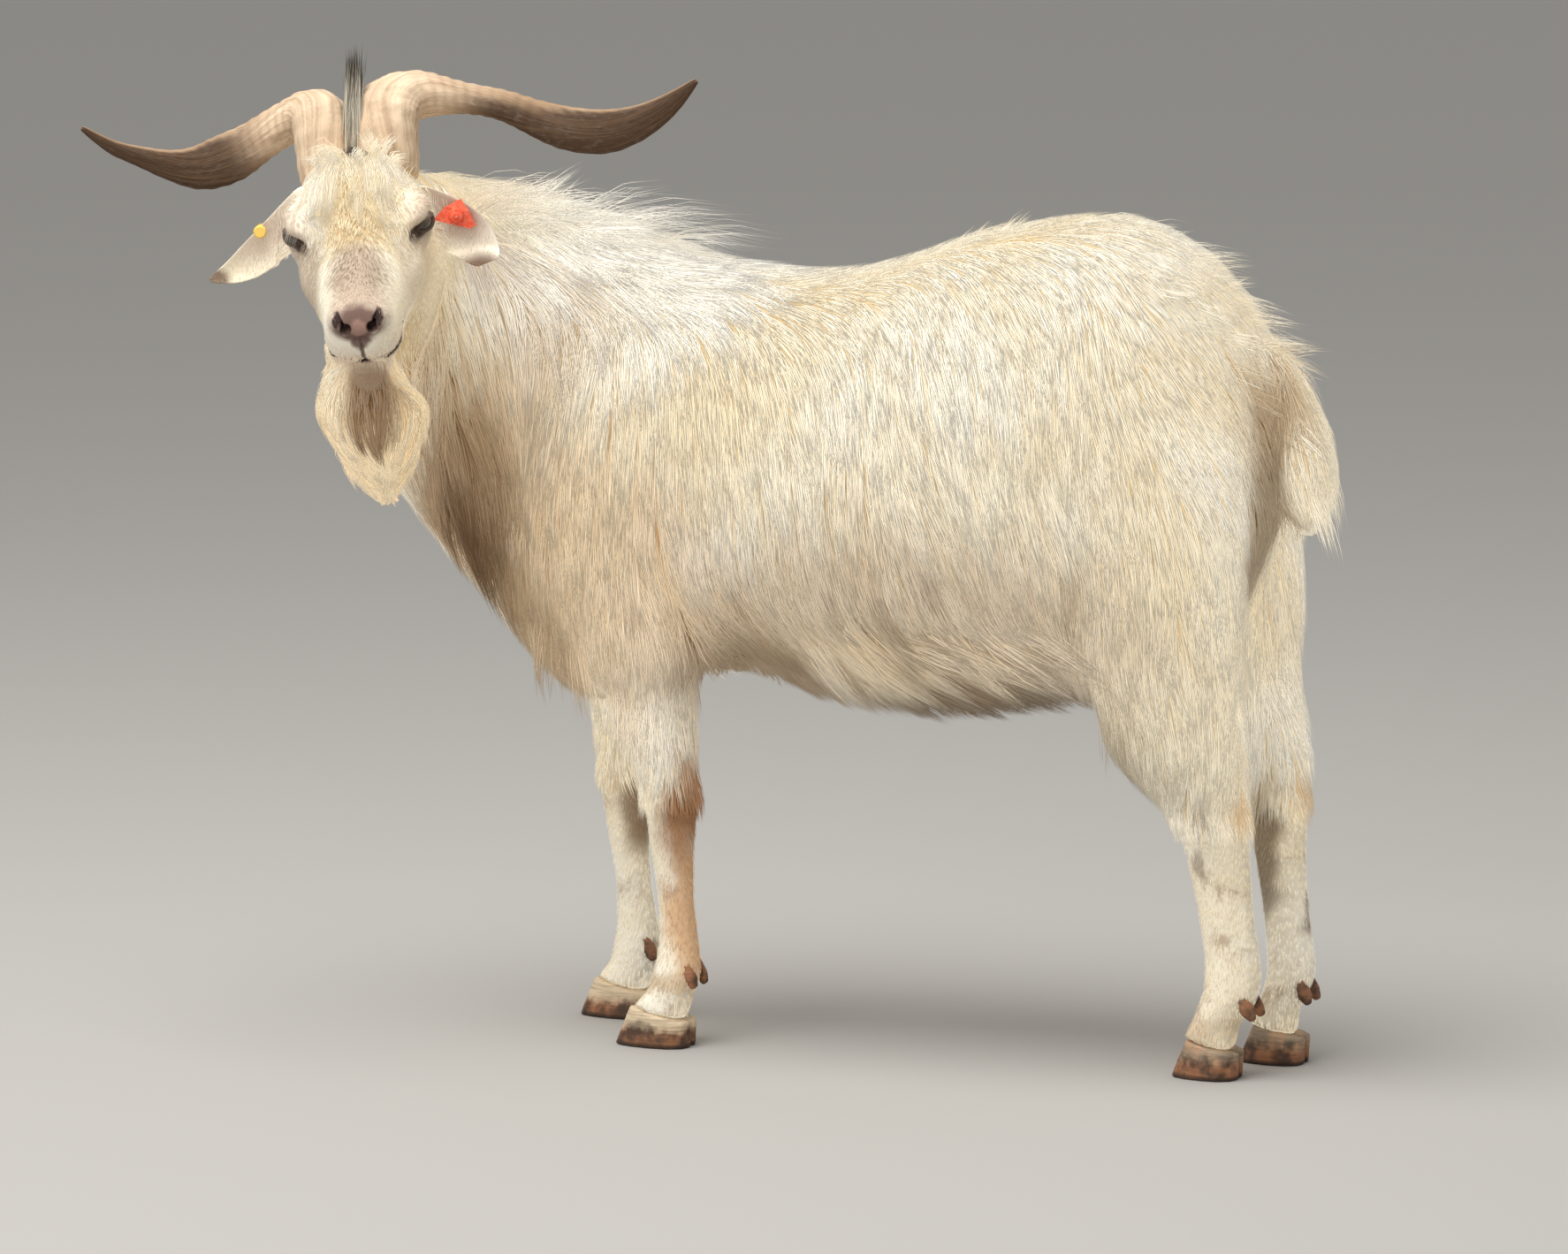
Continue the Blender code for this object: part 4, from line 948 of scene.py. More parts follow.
# %% The lie of the coat
WISHES = {  # back, right, up on the goat's axes
    "side": (0.30, 0, -1.0), "back": (0.85, 0, -0.8), "belly": (0.85, 0, -0.5),
    "rump": (0.65, 0, -1.0), "thigh": (0.12, 0, -1.0), "shoulder": (0.10, 0, -1.0),
    "chest": (0.10, 0.10, -1.0), "neck": (0.30, 0.20, -1.0), "mane": (0.95, -0.05, -0.5),
    "upper foreleg": (0.05, 0, -1.0), "gaskin": (0.0, 0, -1.0), "shank": (0.10, 0, -1.0),
    "foot": (0.0, 0, -1.0), "coronet": (0.0, 0, -1.0), "tail": (0.15, 0, -1.0),
}
FACE_WISHES = {  # forward, left, up on the head's axes
    "jaw": (-0.45, 0, -1.0), "poll": (1.0, 0, -0.1), "forehead": (1.0, 0, -0.1),
    "face": (0.55, 0, -0.8), "muzzle": (0.3, 0, -1.0), "ear": (0.10, 0, -1.0),
}


def lie(places, normals):
    """The way the hair runs along the skin at each place, one unit long."""
    wish = np.tile(np.array(WISHES["side"], float), (len(places), 1))
    for region, weight in regions(places, normals).items():
        weight = weight[:, None]
        if region == "beard":  # out round its two lobes, then in to the tip
            local = on_face(places)
            height = places[:, 2] - FEET.z
            bulge = 1.1 * ramp(height, 0.640, 0.700) - 0.75 * ramp(-height, -0.640, -0.560)
            bulge = np.sign(local[:, 1]) * bulge
            lobes = np.array((0, 0, -1.0)) + bulge[:, None] * FACE_ROWS[:, 1]
            wish = wish * (1 - weight) + lobes * weight
        elif region in FACE_WISHES:
            turned = FACE_ROWS @ np.array(FACE_WISHES[region], float)
            wish = wish * (1 - weight) + turned * weight
        else:
            wish = wish * (1 - weight) + np.array(WISHES[region], float) * weight
    flat = wish - (wish * normals).sum(axis=1)[:, None] * normals
    return flat / np.maximum(np.linalg.norm(flat, axis=1), 1e-6)[:, None]


def turned_about(ways, normals, angles):
    """Each way turned about its normal, in radians."""
    side = np.cross(normals, ways)
    return ways * np.cos(angles)[:, None] + side * np.sin(angles)[:, None]


def wander(places, size, seed):
    """A smooth number from about -1 to 1 at each place."""
    shift = Vector((seed * 7.3, seed * 3.1, seed * 5.7))
    return np.array([noise.noise(Vector(place) / size + shift) for place in places]) * 1.8


# %% [markdown]
# Roots are scattered over the skin in proportion to each triangle's area and to the number of
# locks that its region asks for. Walking down the running total in even steps, with a little
# chance in each, spreads them more evenly than pure chance would.

# %% Scatter the roots
SEED = 7
chance = np.random.default_rng(SEED)
skin.data.calc_loop_triangles()
corners = np.empty(len(skin.data.loop_triangles) * 3, np.int32)
skin.data.loop_triangles.foreach_get("vertices", corners)
corners = corners.reshape(-1, 3)
SKIN_PLACES, SKIN_NORMALS = read(skin.data), read(skin.data, "vertex_normals", "vector")
SURFACE = BVHTree.FromPolygons([tuple(c) for c in SKIN_PLACES], [tuple(c) for c in corners])
A, B, C = (SKIN_PLACES[corners[:, i]] for i in range(3))
areas = np.linalg.norm(np.cross(B - A, C - A), axis=1) / 2
middles = (A + B + C) / 3
middle_normals = unit(SKIN_NORMALS[corners].mean(axis=1))
wanted = coat_at(middles, middle_normals)["number"]
HAIRLESS = [  # (forward, left, up), no hair as far as this, all of it from this on
    ((0.154, 0, -0.021), 0.0243, 0.0297),  # nose pad
    ((0.150, 0, -0.050), 0.0072, 0.0088),  # middle of the lip
    ((0.0085, 0.0655, -0.011), 0.014, 0.018),  # lids
    ((0.0085, -0.0655, -0.011), 0.014, 0.018),
]


def bare(places):
    """1 where no hair grows."""
    local = on_face(places)
    made = np.zeros(len(places))
    for at, none, full in HAIRLESS:
        made = np.maximum(made, 1 - ramp(np.linalg.norm(local - np.array(at), axis=1), none, full))
    return made


wanted = wanted * (1 - bare(middles))
total = np.cumsum(areas * wanted)
count = int(total[-1])
picks = np.searchsorted(total, (np.arange(count) + chance.random(count)) * total[-1] / count)
picks = np.clip(picks, 0, len(areas) - 1)
one, two = np.sqrt(chance.random(count)), chance.random(count)
shares = np.column_stack([1 - one, one * (1 - two), one * two])
roots = sum(SKIN_PLACES[corners[picks, i]] * shares[:, i:i + 1] for i in range(3))
root_normals = unit(
    sum(SKIN_NORMALS[corners[picks, i]] * shares[:, i:i + 1] for i in range(3))
)
print("skin area", round(areas.sum(), 3), "m2, roots", count)

# %% [markdown]
# A lock follows the skin beneath it in a few steps. After each step the nearest skin is found
# again, and the lock's next point stands a little higher over it, up to the coat's depth at the
# tip. Where hair hangs free, as on the belly and chest, the step leans to straight down. Then
# each lock is drawn towards a leader near it, more at the tip than the root, which gathers
# single locks into the pointed clumps of a long coat.

# %% Grow the locks
STEPS = 4
LEADER_EVERY = 22
ROOT_DEPTH, TUFT_DEPTH = 0.0012, 0.002  # how far below the skin a lock starts


def nearest_skin(places):
    """The foot of each place on the skin, and the skin's normal there."""
    feet, ups = np.empty_like(places), np.empty_like(places)
    for i, place in enumerate(places):
        foot, normal, *_ = SURFACE.find_nearest(place)
        feet[i], ups[i] = foot, normal
    return feet, ups


def grow(roots, normals, coat, sway):
    """(locks, steps + 1, 3) points of each lock, and the skin's normal under each."""
    count = len(roots)
    points, ups = np.empty((count, STEPS + 1, 3)), np.empty((count, STEPS + 1, 3))
    points[:, 0], ups[:, 0] = roots - normals * ROOT_DEPTH, normals
    foot, up = roots, normals
    stride = coat["length"][:, None] / STEPS
    down = np.array((0.0, 0.0, -1.0))
    for step in range(1, STEPS + 1):
        share = step / STEPS
        way = turned_about(lie(foot, up), up, sway * (0.6 + 0.4 * share))
        foot, up = nearest_skin(foot + way * stride)
        up = unit(up * 0.6 + ups[:, step - 1] * 0.4)
        height = coat["depth"] * (1 - (1 - share) ** 1.7) * coat["puff"]
        clinging = foot + up * height[:, None] - points[:, step - 1]
        loose = unit(way * (1 - 0.55 * share) + down * 0.8 * share + up * 0.15)
        hang = (coat["hang"] * (0.4 + 0.6 * share))[:, None]
        points[:, step] = points[:, step - 1] + clinging * (1 - hang) + loose * stride * hang
        ups[:, step] = up
    return points, ups


coat = coat_at(roots, root_normals)
coat["length"] = coat["length"] * chance.uniform(0.70, 1.20, count)
coat["puff"] = chance.uniform(0.62, 1.06, count)
sway = 0.17 * wander(roots, 0.090, 1) + 0.04 * wander(roots, 0.030, 2)
curly = regions(roots, root_normals)
curly = np.clip(curly["forehead"] + curly["poll"] + 0.6 * curly["mane"], 0, 1)
sway = sway * (1 + 1.8 * curly) + chance.normal(0, 0.045, count)
points, ups = grow(roots, root_normals, coat, sway)

leaders = chance.permutation(count)[: count // LEADER_EVERY]
tree = KDTree(len(leaders))
for index, leader in enumerate(leaders):
    tree.insert(roots[leader], index)
tree.balance()
follows = leaders[[tree.find(root)[1] for root in roots]]
apart = np.linalg.norm(roots[follows] - roots, axis=1)
pull = coat["clump"] * (apart < np.maximum(0.5 * coat["length"], 0.004))
pull = pull * chance.uniform(0.6, 1.2, count)
along = np.linspace(0, 1, STEPS + 1)
gather = (pull[:, None] * along[None, :] ** 1.4)[:, :, None]
points = points + (points[follows] - points) * gather
way = points[:, 2] - points[:, 0]
side = unit(np.cross(way, ups[:, 0]))
phase = chance.uniform(0, 2 * math.pi, len(leaders))
phase = dict(zip(leaders.tolist(), phase.tolist()))
phase = np.array([phase[leader] for leader in follows.tolist()]) + chance.normal(0, 0.5, count)
swing = np.sin(phase[:, None] + along[None, :] * 5.0) - np.sin(phase)[:, None]
points = points + side[:, None, :] * (swing * coat["wave"][:, None] * 0.6)[:, :, None]
usual = round(float(np.median(coat["depth"])) * 1000, 1)
print("grew", count, "locks; half of their tips stand more than", usual, "mm off")

# %% [markdown]
# Some hair leaves the coat: the mane along the neck, the forelock that spills over the roots of
# the horns, the dark tuft between them, wisps on the rump, chest and belly, and the fringes that
# end over the knees and hocks. Each row of the table is a row of such tufts from one place to
# another, on the goat's axes for "body" and on the head's for "face" and "strip". A tuft's locks
# start close together, follow one falling curve and gather towards its tip. Those of the strip
# between the horns stray less and gather less, so they stand side by side like a brush.

# %% Tufts that stand out
KINDS = {  # how far ways stray from tuft to tuft, and from lock to lock; how closely tips meet
    "body": (0.10, 0.12, 0.65), "face": (0.19, 0.12, 0.65), "strip": (0.02, 0.05, 0.25),
}
# kind, from, to, how many; first and last way; fall; mm long, mm across, locks, mm wide
TUFTS = [
    ("body", (-0.480, -0.080, 0.820), (-0.400, -0.030, 0.790), 6,
     (0.85, -0.10, 0.40), (0.90, -0.05, 0.36), (0.2, 0, -0.55), 98, 20, 64, 1.6),  # crest
    ("body", (-0.400, -0.030, 0.790), (-0.330, -0.005, 0.770), 6,
     (0.85, 0.05, 0.55), (0.90, 0.00, 0.42), (0.3, 0, -0.75), 120, 16, 34, 1.3),
    ("body", (-0.430, -0.075, 0.790), (-0.300, -0.050, 0.755), 8,
     (0.75, -0.35, -0.05), (0.85, -0.30, -0.15), (0.1, 0, -0.80), 112, 24, 56, 1.6),
    ("body", (0.000, -0.020, 0.775), (0.040, 0.020, 0.780), 4,
     (0.45, 0.00, 0.60), (0.60, 0.00, 0.50), (0.2, 0, -0.2), 44, 12, 30, 1.4),  # croup
    ("body", (0.060, 0.000, 0.800), (0.325, 0.000, 0.700), 20,
     (0.80, 0.00, 0.38), (0.95, 0.00, -0.12), (0.0, 0, -0.35), 54, 15, 26, 1.4),  # rump
    ("body", (0.200, -0.060, 0.780), (0.330, -0.040, 0.640), 7,
     (0.80, -0.25, 0.10), (0.90, -0.20, -0.35), (0.0, 0, -0.40), 62, 15, 28, 1.7),
    ("body", (-0.430, -0.080, 0.430), (-0.360, -0.100, 0.410), 5,
     (0.00, -0.10, -1.00), (0.20, -0.15, -1.00), (0.1, 0, 0.0), 88, 15, 34, 1.9),  # chest
    ("body", (-0.120, -0.130, 0.430), (0.110, -0.120, 0.430), 9,
     (0.70, -0.20, -0.60), (0.80, -0.20, -0.45), (0.2, 0, 0.10), 100, 18, 36, 1.9),  # belly
    ("body", (0.180, -0.100, 0.370), (0.255, -0.085, 0.350), 6,
     (0.15, -0.10, -1.00), (0.10, -0.05, -1.00), (0.0, 0, 0.0), 74, 13, 30, 1.7),  # thigh
    ("body", (-0.315, -0.100, 0.370), (-0.275, -0.090, 0.350), 4,
     (0.12, -0.05, -1.00), (0.02, 0.00, -1.00), (0.0, 0, 0.0), 88, 12, 34, 1.7),  # forearm
    ("body", (0.345, 0.030, 0.610), (0.365, -0.030, 0.575), 9,
     (0.62, 0.10, -1.00), (0.45, -0.20, -1.00), (-0.2, 0, -0.2), 62, 14, 30, 1.7),  # tail
    ("face", (-0.058, -0.044, 0.050), (-0.058, 0.044, 0.050), 9,
     (0.55, -0.45, 0.85), (0.55, 0.45, 0.85), (1.5, 0, -2.0), 62, 11, 52, 1.1),  # forelock
    ("face", (-0.034, -0.034, 0.040), (-0.034, 0.034, 0.040), 8,
     (0.80, -0.35, 0.50), (0.80, 0.35, 0.50), (0.8, 0, -1.6), 54, 11, 46, 1.1),
    ("face", (-0.004, -0.024, 0.020), (-0.004, 0.024, 0.020), 6,
     (0.90, -0.25, 0.10), (0.90, 0.25, 0.10), (0.5, 0, -0.9), 42, 10, 38, 1.0),
    ("face", (-0.056, -0.046, 0.042), (-0.066, -0.018, 0.050), 5,
     (0.10, -0.20, 1.00), (0.15, -0.06, 1.00), (0.6, 0, -0.8), 56, 9, 40, 1.1),  # horn roots
    ("face", (-0.066, 0.014, 0.050), (-0.054, 0.056, 0.036), 6,
     (0.15, 0.06, 1.00), (0.10, 0.25, 1.00), (0.6, 0, -0.8), 56, 9, 40, 1.1),
    ("strip", (-0.122, -0.004, 0.080), (-0.086, -0.004, 0.070), 7,
     (-0.64, 0.16, 0.76), (-0.52, 0.16, 0.86), (-0.3, 0, 0.0), 74, 13, 64, 1.4),  # dark tuft
    ("body", (-0.455, -0.060, 0.820), (-0.440, -0.050, 0.815), 2,
     (0.90, 0.00, 0.62), (0.90, 0.00, 0.62), (0.1, 0, -0.1), 88, 16, 60, 1.4),  # tip of the mane
    ("body", (-0.520, -0.245, 0.612), (-0.505, -0.235, 0.612), 3,
     (-0.05, 0.00, -1.00), (0.10, 0.00, -1.00), (0.1, 0, 0.0), 46, 9, 24, 1.2),  # beard's tip
]


def tuft(place, way, fall, length, across, locks, stray, meet):
    """Points, ups and roots of one tuft."""
    spots = place + chance.normal(0, across / 2, (locks, 3))
    spots, normals = nearest_skin(spots)
    middle = spots.mean(axis=0)
    share = np.linspace(0, 1, STEPS + 1)[None, :, None]
    long = chance.uniform(0.6, 1.1, locks)[:, None, None] * length
    way = way / np.linalg.norm(way)
    own = way + chance.normal(0, stray, (locks, 3))
    curve = share * own[:, None, :] + 0.5 * share ** 2 * fall
    points = spots[:, None, :] + long * curve
    heart = middle + length * (share * way + 0.5 * share ** 2 * fall)
    points = points + (heart + (long - length) * way * share - points) * meet * share ** 1.3
    points[:, 0] -= normals * TUFT_DEPTH
    ways = unit(np.gradient(points, axis=1))
    ups = normals[:, None, :] + chance.normal(0, 0.15, (locks, 1, 3)) + (0, 0, 0.2)
    ups = unit(ups - (ups * ways).sum(axis=2)[:, :, None] * ways)
    return points, ups, spots, normals


grown = []
for kind, start, end, number, first, last, fall, length, across, locks, width in TUFTS:
    unlike, stray, meet = KINDS[kind]
    for share in np.linspace(0, 1, number):
        place = np.array(start) * (1 - share) + np.array(end) * share
        way = np.array(first) * (1 - share) + np.array(last) * share
        way = way + chance.normal(0, unlike, 3)
        fall_here = np.array(fall, float)
        if kind == "face":
            fall_here = fall_here + chance.normal(0, 0.35, 3)
        if kind == "body":
            place = place + np.array(FEET)
        else:
            place = from_face(place[None])[0]
            way, fall_here = FACE_ROWS @ way, FACE_ROWS @ fall_here
        size = length * chance.uniform(0.8, 1.2)
        made = tuft(place, way, fall_here, size / 1000, across / 1000, locks, stray, meet)
        grown.append((*made, np.full(locks, width / 1000), np.full(locks, size / 1000)))
more = [np.concatenate(parts) for parts in zip(*grown)]
points, ups = np.concatenate([points, more[0]]), np.concatenate([ups, more[1]])
roots, root_normals = np.concatenate([roots, more[2]]), np.concatenate([root_normals, more[3]])
coat = {
    "width": np.concatenate([coat["width"], more[4]]),
    "length": np.concatenate([coat["length"], more[5]]),
}
count = len(roots)
print("with", len(grown), "tufts:", count, "locks")

# %% [markdown]
# Each lock is a thin closed spike of three sides, widest about a quarter of the way up. Its faces
# follow one pattern, so the arrays for thousands of them are made at once and handed to the mesh.
# Short hair needs fewer rings. Three things go with each lock: the place of its root, from which
# the markings are read, how far along it a point is, and a tint of its own. The map named OFBake
# gives each lock a small patch at its root's place on an unwrap of the skin.

# %% One mesh of many locks
PATCH = 0.003  # side of a lock's patch on the map
THICKNESS = 0.45  # of a lock, against its width
TURNED, LIFTED = 0.12, 0.2  # how far its shading turns to the sides, and off the skin


def lock_pattern(rings):
    """Corner numbers and face sizes of one lock, each corner's place on its patch, and 1 for
    the corners of its under side."""
    corners, sizes, spots = [2, 1, 0], [3], [(3.0, 0.0), (1.5, -0.12), (0.0, 0.0)]
    under = [0, 0, 0]
    for ring in range(rings - 1):
        for j in range(3):
            k = (j + 1) % 3
            corners += [3 * ring + j, 3 * ring + k, 3 * ring + 3 + k, 3 * ring + 3 + j]
            low, high = ring / rings, (ring + 1) / rings
            spots += [(j, low), (j + 1, low), (j + 1, high), (j, high)]
            sizes.append(4)
            under += [int(j == 2)] * 4
    ring = rings - 1
    for j in range(3):
        corners += [3 * ring + j, 3 * ring + (j + 1) % 3, 3 * rings]
        spots += [(j, ring / rings), (j + 1, ring / rings), (j + 0.5, 1.0)]
        sizes.append(3)
        under += [int(j == 2)] * 3
    spots = np.array(spots) / (3.0, 1.0)
    return np.array(corners), np.array(sizes), spots, np.array(under, bool)


def store(mesh, name, values, domain="POINT"):
    """Keep one number, or three, for each vertex or corner."""
    kind, key = ("FLOAT_VECTOR", "vector") if np.ndim(values) > 1 else ("FLOAT", "value")
    layer = mesh.attributes.new(name, kind, domain)
    layer.data.foreach_set(key, values.astype(np.float32).ravel())


def locks_mesh(name, points, ups, widths, root_places, tints, patches):
    """points and ups are (locks, rings + 1, 3); the last point is the tip."""
    count, rings = len(points), points.shape[1] - 1
    per_lock = 3 * rings + 1
    ways = np.gradient(points, axis=1)
    sides = unit(np.cross(ways, ups))
    lifts = unit(np.cross(sides, ways))
    share = np.linspace(0, 1, rings + 1)[:rings]
    fullness = 0.72 + 1.1 * share * (share < 0.5) + 0.55 * (share >= 0.5)
    half = widths[:, None] / 2 * ((1 - share) ** 0.75 * fullness)[None, :]
    vertices = np.empty((count, per_lock, 3))
    for ring in range(rings):
        across = sides[:, ring] * half[:, ring, None]
        height = lifts[:, ring] * half[:, ring, None] * THICKNESS
        for corner, offset in enumerate((-across, height, across)):
            vertices[:, 3 * ring + corner] = points[:, ring] + offset
    vertices[:, -1] = points[:, -1]
    shading = np.repeat(ups, 3, axis=1)[:, :per_lock].copy()
    shading[:, 0:3 * rings:3] -= sides[:, :rings] * TURNED
    shading[:, 2:3 * rings:3] += sides[:, :rings] * TURNED
    shading = unit(shading + np.repeat(lifts, 3, axis=1)[:, :per_lock] * LIFTED)
    pattern, sizes, spots, under = lock_pattern(rings)
    corners = pattern + np.arange(count)[:, None] * per_lock
    starts = np.concatenate([[0], np.cumsum(sizes)[:-1]])
    starts = starts + np.arange(count)[:, None] * len(pattern)
    mesh = bpy.data.meshes.new(name)
    mesh.vertices.add(count * per_lock)
    mesh.vertices.foreach_set("co", vertices.astype(np.float32).ravel())
    mesh.loops.add(corners.size)
    mesh.loops.foreach_set("vertex_index", corners.astype(np.int32).ravel())
    mesh.polygons.add(starts.size)
    mesh.polygons.foreach_set("loop_start", starts.astype(np.int32).ravel())
    mesh.update(calc_edges=True)
    mesh.validate()
    mesh.shade_smooth()
    levels = np.append(np.repeat(np.arange(rings) / rings, 3), 1.0)
    store(mesh, "root", np.repeat(root_places, per_lock, axis=0))
    store(mesh, "along", np.tile(levels, count))
    store(mesh, "tint", np.repeat(tints, per_lock))
    for layer, values in (
        ("OFBake", patches[:, None, :] + (spots - 0.5)[None] * PATCH),
        ("Strand", np.tile(spots, (count, 1, 1)) + tints[:, None, None] * (1.0, 0.0)),
    ):
        uv = mesh.uv_layers.new(name=layer)
        uv.data.foreach_set("uv", values.astype(np.float32).ravel())
    facing = shading[:, pattern]
    facing[:, under] *= -1
    store(mesh, "custom_normal", facing, "CORNER")
    return mesh


# %% [markdown]
# ## The hair's material
#
# A lock stands for a few dozen hairs. Fine streaks along it, in colour and in a bump, split it
# up, and the tint makes one lock a little lighter or yellower than the next. Hair is darker at
# the root, from dust and painted shade. It also glows with its own colour, a painted light that
# stands in for light passing through white hair, so it looks lit in its own shade.

# %% Material of the long hair
# PAINTED_GLOW is an emission painted on the hair, standing in for the light that white hair lets
# through.
PAINTED_GLOW = 0.55  # white hair lets light through, and looks lit even in its own shade
LIT = 0.80  # the share of its colour that it reflects


def hair_material(name, dark_root, streak, relief):
    material, w, shader = new_material(name, 0.62, 0.30)
    strand = w.node("UVMap", uv_map="Strand").outputs["UV"]
    lines = w.noise(w.stretched(strand, (9.0, 0.8, 1.0)), 1.6, 3.0, 0.65)
    older = w.spread(w.attribute("tint"), 0.45, 1.0, 0.0, 0.42)
    colour = marked(w, w.attribute("root", "Vector"))
    colour = w.mix(older, colour, paint(240, 226, 196), "MULTIPLY")
    at_root = (dark_root, dark_root * 0.95, dark_root * 0.86, 1)
    shade = w.mix(w.spread(w.attribute("along"), 0.0, 0.55), at_root, (1, 1, 1, 1))
    colour = w.mix(1.0, colour, shade, "MULTIPLY")
    streaks = w.spread(lines, 0.30, 0.62, streak, 0.0)
    colour = w.mix(streaks, colour, paint(206, 188, 160), "MULTIPLY")
    reflected = w.mix(1.0, colour, (LIT, LIT, LIT, 1), "MULTIPLY")
    w.feed(shader.inputs["Base Color"], reflected)
    # the painted glow: the hair emits its own colour
    w.feed(shader.inputs["Emission Color"], colour)
    shader.inputs["Emission Strength"].default_value = PAINTED_GLOW
    if relief:
        bumped(w, shader, lines, relief, 0.00012)
    return material


long_hair = hair_material("long hair", 0.90, 0.26, 0.3)
short_hair = hair_material("short hair", 1.0, 0.10, 0)

# %% [markdown]
# ## From locks to pieces
#
# No piece may have too many triangles, so the coat is dealt out by region, and a region with more
# locks than one piece may hold is dealt again along the body. The skin is thinned and the part
# that a piece grows from is unwrapped, and each lock's patch lies at its root there.

# %% Unwrap the skin's own shape
LOW_FACES = 9000
low = link("skin_low", skin.data.copy())
lower = low.modifiers.new("lower", "DECIMATE")
lower.ratio = LOW_FACES / len(low.data.polygons)
finished(low)
LOW_SURFACE = BVHTree.FromPolygons(
    [v.co for v in low.data.vertices], [tuple(p.vertices) for p in low.data.polygons]
)


def patches_for(name, places):
    """Where each root lies on an unwrap of the skin under this piece."""
    touched = np.array([LOW_SURFACE.find_nearest(place)[2] for place in places])
    used = set(touched.tolist())
    bm = bmesh.new()
    bm.from_mesh(low.data)
    bm.faces.ensure_lookup_table()
    number = bm.faces.layers.int.new("number")
    for face in bm.faces:
        face[number] = face.index
    bmesh.ops.delete(bm, geom=[f for f in bm.faces if f.index not in used], context="FACES")
    patch = from_bmesh(name + "_unwrap", bm)
    for other in bpy.context.view_layer.objects:
        other.select_set(False)
    patch.select_set(True)
    bpy.context.view_layer.objects.active = patch
    bpy.ops.object.mode_set(mode="EDIT")
    bpy.ops.mesh.select_all(action="SELECT")
    bpy.ops.uv.smart_project(angle_limit=math.radians(72), island_margin=0.008)
    bpy.ops.object.mode_set(mode="OBJECT")
    uv = read(patch.data.uv_layers[0], "data", "uv", 2).reshape(-1, 3, 2)
    faces = np.array([item.value for item in patch.data.attributes["number"].data])
    spot = dict(zip(faces.tolist(), range(len(faces))))
    rows = np.array([spot[face] for face in touched.tolist()])
    corner = np.array([[low.data.vertices[v].co for v in low.data.polygons[f].vertices]
                       for f in faces.tolist()])[rows]
    a, b, c = corner[:, 0], corner[:, 1], corner[:, 2]
    normal = np.cross(b - a, c - a)
    size = np.maximum((normal ** 2).sum(axis=1), 1e-18)
    of_c = (np.cross(b - a, places - a) * normal).sum(axis=1) / size
    of_b = (np.cross(places - a, c - a) * normal).sum(axis=1) / size
    shares = np.clip(np.column_stack([1 - of_b - of_c, of_b, of_c]), 0, 1)
    shares /= shares.sum(axis=1)[:, None]
    mesh = patch.data
    bpy.data.objects.remove(patch)
    bpy.data.meshes.remove(mesh)
    return (uv[rows] * shares[:, :, None]).sum(axis=1) * 0.99 + 0.005


# %% Deal the locks out to pieces
MOST_LOCKS = {4: 8800, 3: 12000, 2: 18000}  # in one piece, by the rings of its locks
RINGS = {"trunk": 3, "hindquarters": 3, "foreleg": 3}
SHORT, SHORT_RINGS = 0.020, 2
HOMES = [  # a region and the part of the coat that it goes to; later rows overrule
    ("neck", "neck"), ("thigh", "hindquarters"), ("rump", "hindquarters"),
    ("upper foreleg", "foreleg"), ("tail", "tail"), ("jaw", "head"), ("beard", "beard"),
    ("shank", "shins"),
]


def resampled(curves, rings):
    """The same curves with fewer points."""
    at = np.linspace(0, curves.shape[1] - 1, rings + 1)
    low = np.minimum(at.astype(int), curves.shape[1] - 2)
    share = (at - low)[None, :, None]
    return curves[:, low] * (1 - share) + curves[:, low + 1] * share


tints = np.clip(0.5 + 0.22 * wander(roots, 0.045, 3) + chance.normal(0, 0.16, count), 0, 1)
weights = regions(roots, root_normals)
home = np.full(count, "trunk", dtype=object)
for region, part in HOMES:
    home[weights[region] > 0.5] = part
is_short = coat["length"] < SHORT
triangles = {}
for part in dict.fromkeys(home.tolist()):
    for rings, kind in ((RINGS.get(part, STEPS), ~is_short), (SHORT_RINGS, is_short)):
        members = np.flatnonzero((home == part) & kind)
        if not len(members):
            continue
        members = members[np.argsort(roots[members, 0], kind="stable")]
        parts = math.ceil(len(members) / MOST_LOCKS[rings])
        for number, chosen in enumerate(np.array_split(members, parts)):
            name = f"coat_{part}_{'long' if rings > SHORT_RINGS else 'short'}_{number + 1}"
            picked, over = resampled(points[chosen], rings), resampled(ups[chosen], rings)
            widths = coat["width"][chosen] * chance.uniform(0.7, 1.3, len(chosen))
            mesh = locks_mesh(
                name, picked, over, widths, roots[chosen], tints[chosen],
                patches_for(name, roots[chosen]),
            )
            piece = link(name, mesh)
            wear(piece, long_hair if rings > SHORT_RINGS else short_hair)
            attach(piece, "root")
            triangles[name] = sum(len(p.vertices) - 2 for p in mesh.polygons)
            print(name, len(chosen), "locks,", triangles[name], "triangles")
print("coat:", sum(triangles.values()), "triangles in", len(triangles), "pieces")

# %% [markdown]
# ## Horns
#
# A goat's horn is a sheath of packed fibres over bone. It grows from its root, so it shows fine
# streaks along it and low swells across it. The solid horn is rounded with Subdivision Surface,
# its root is broadened towards the other horn and pushed down into the hair, and a coordinate
# that runs along the horn is stored, so that streaks bend with it.

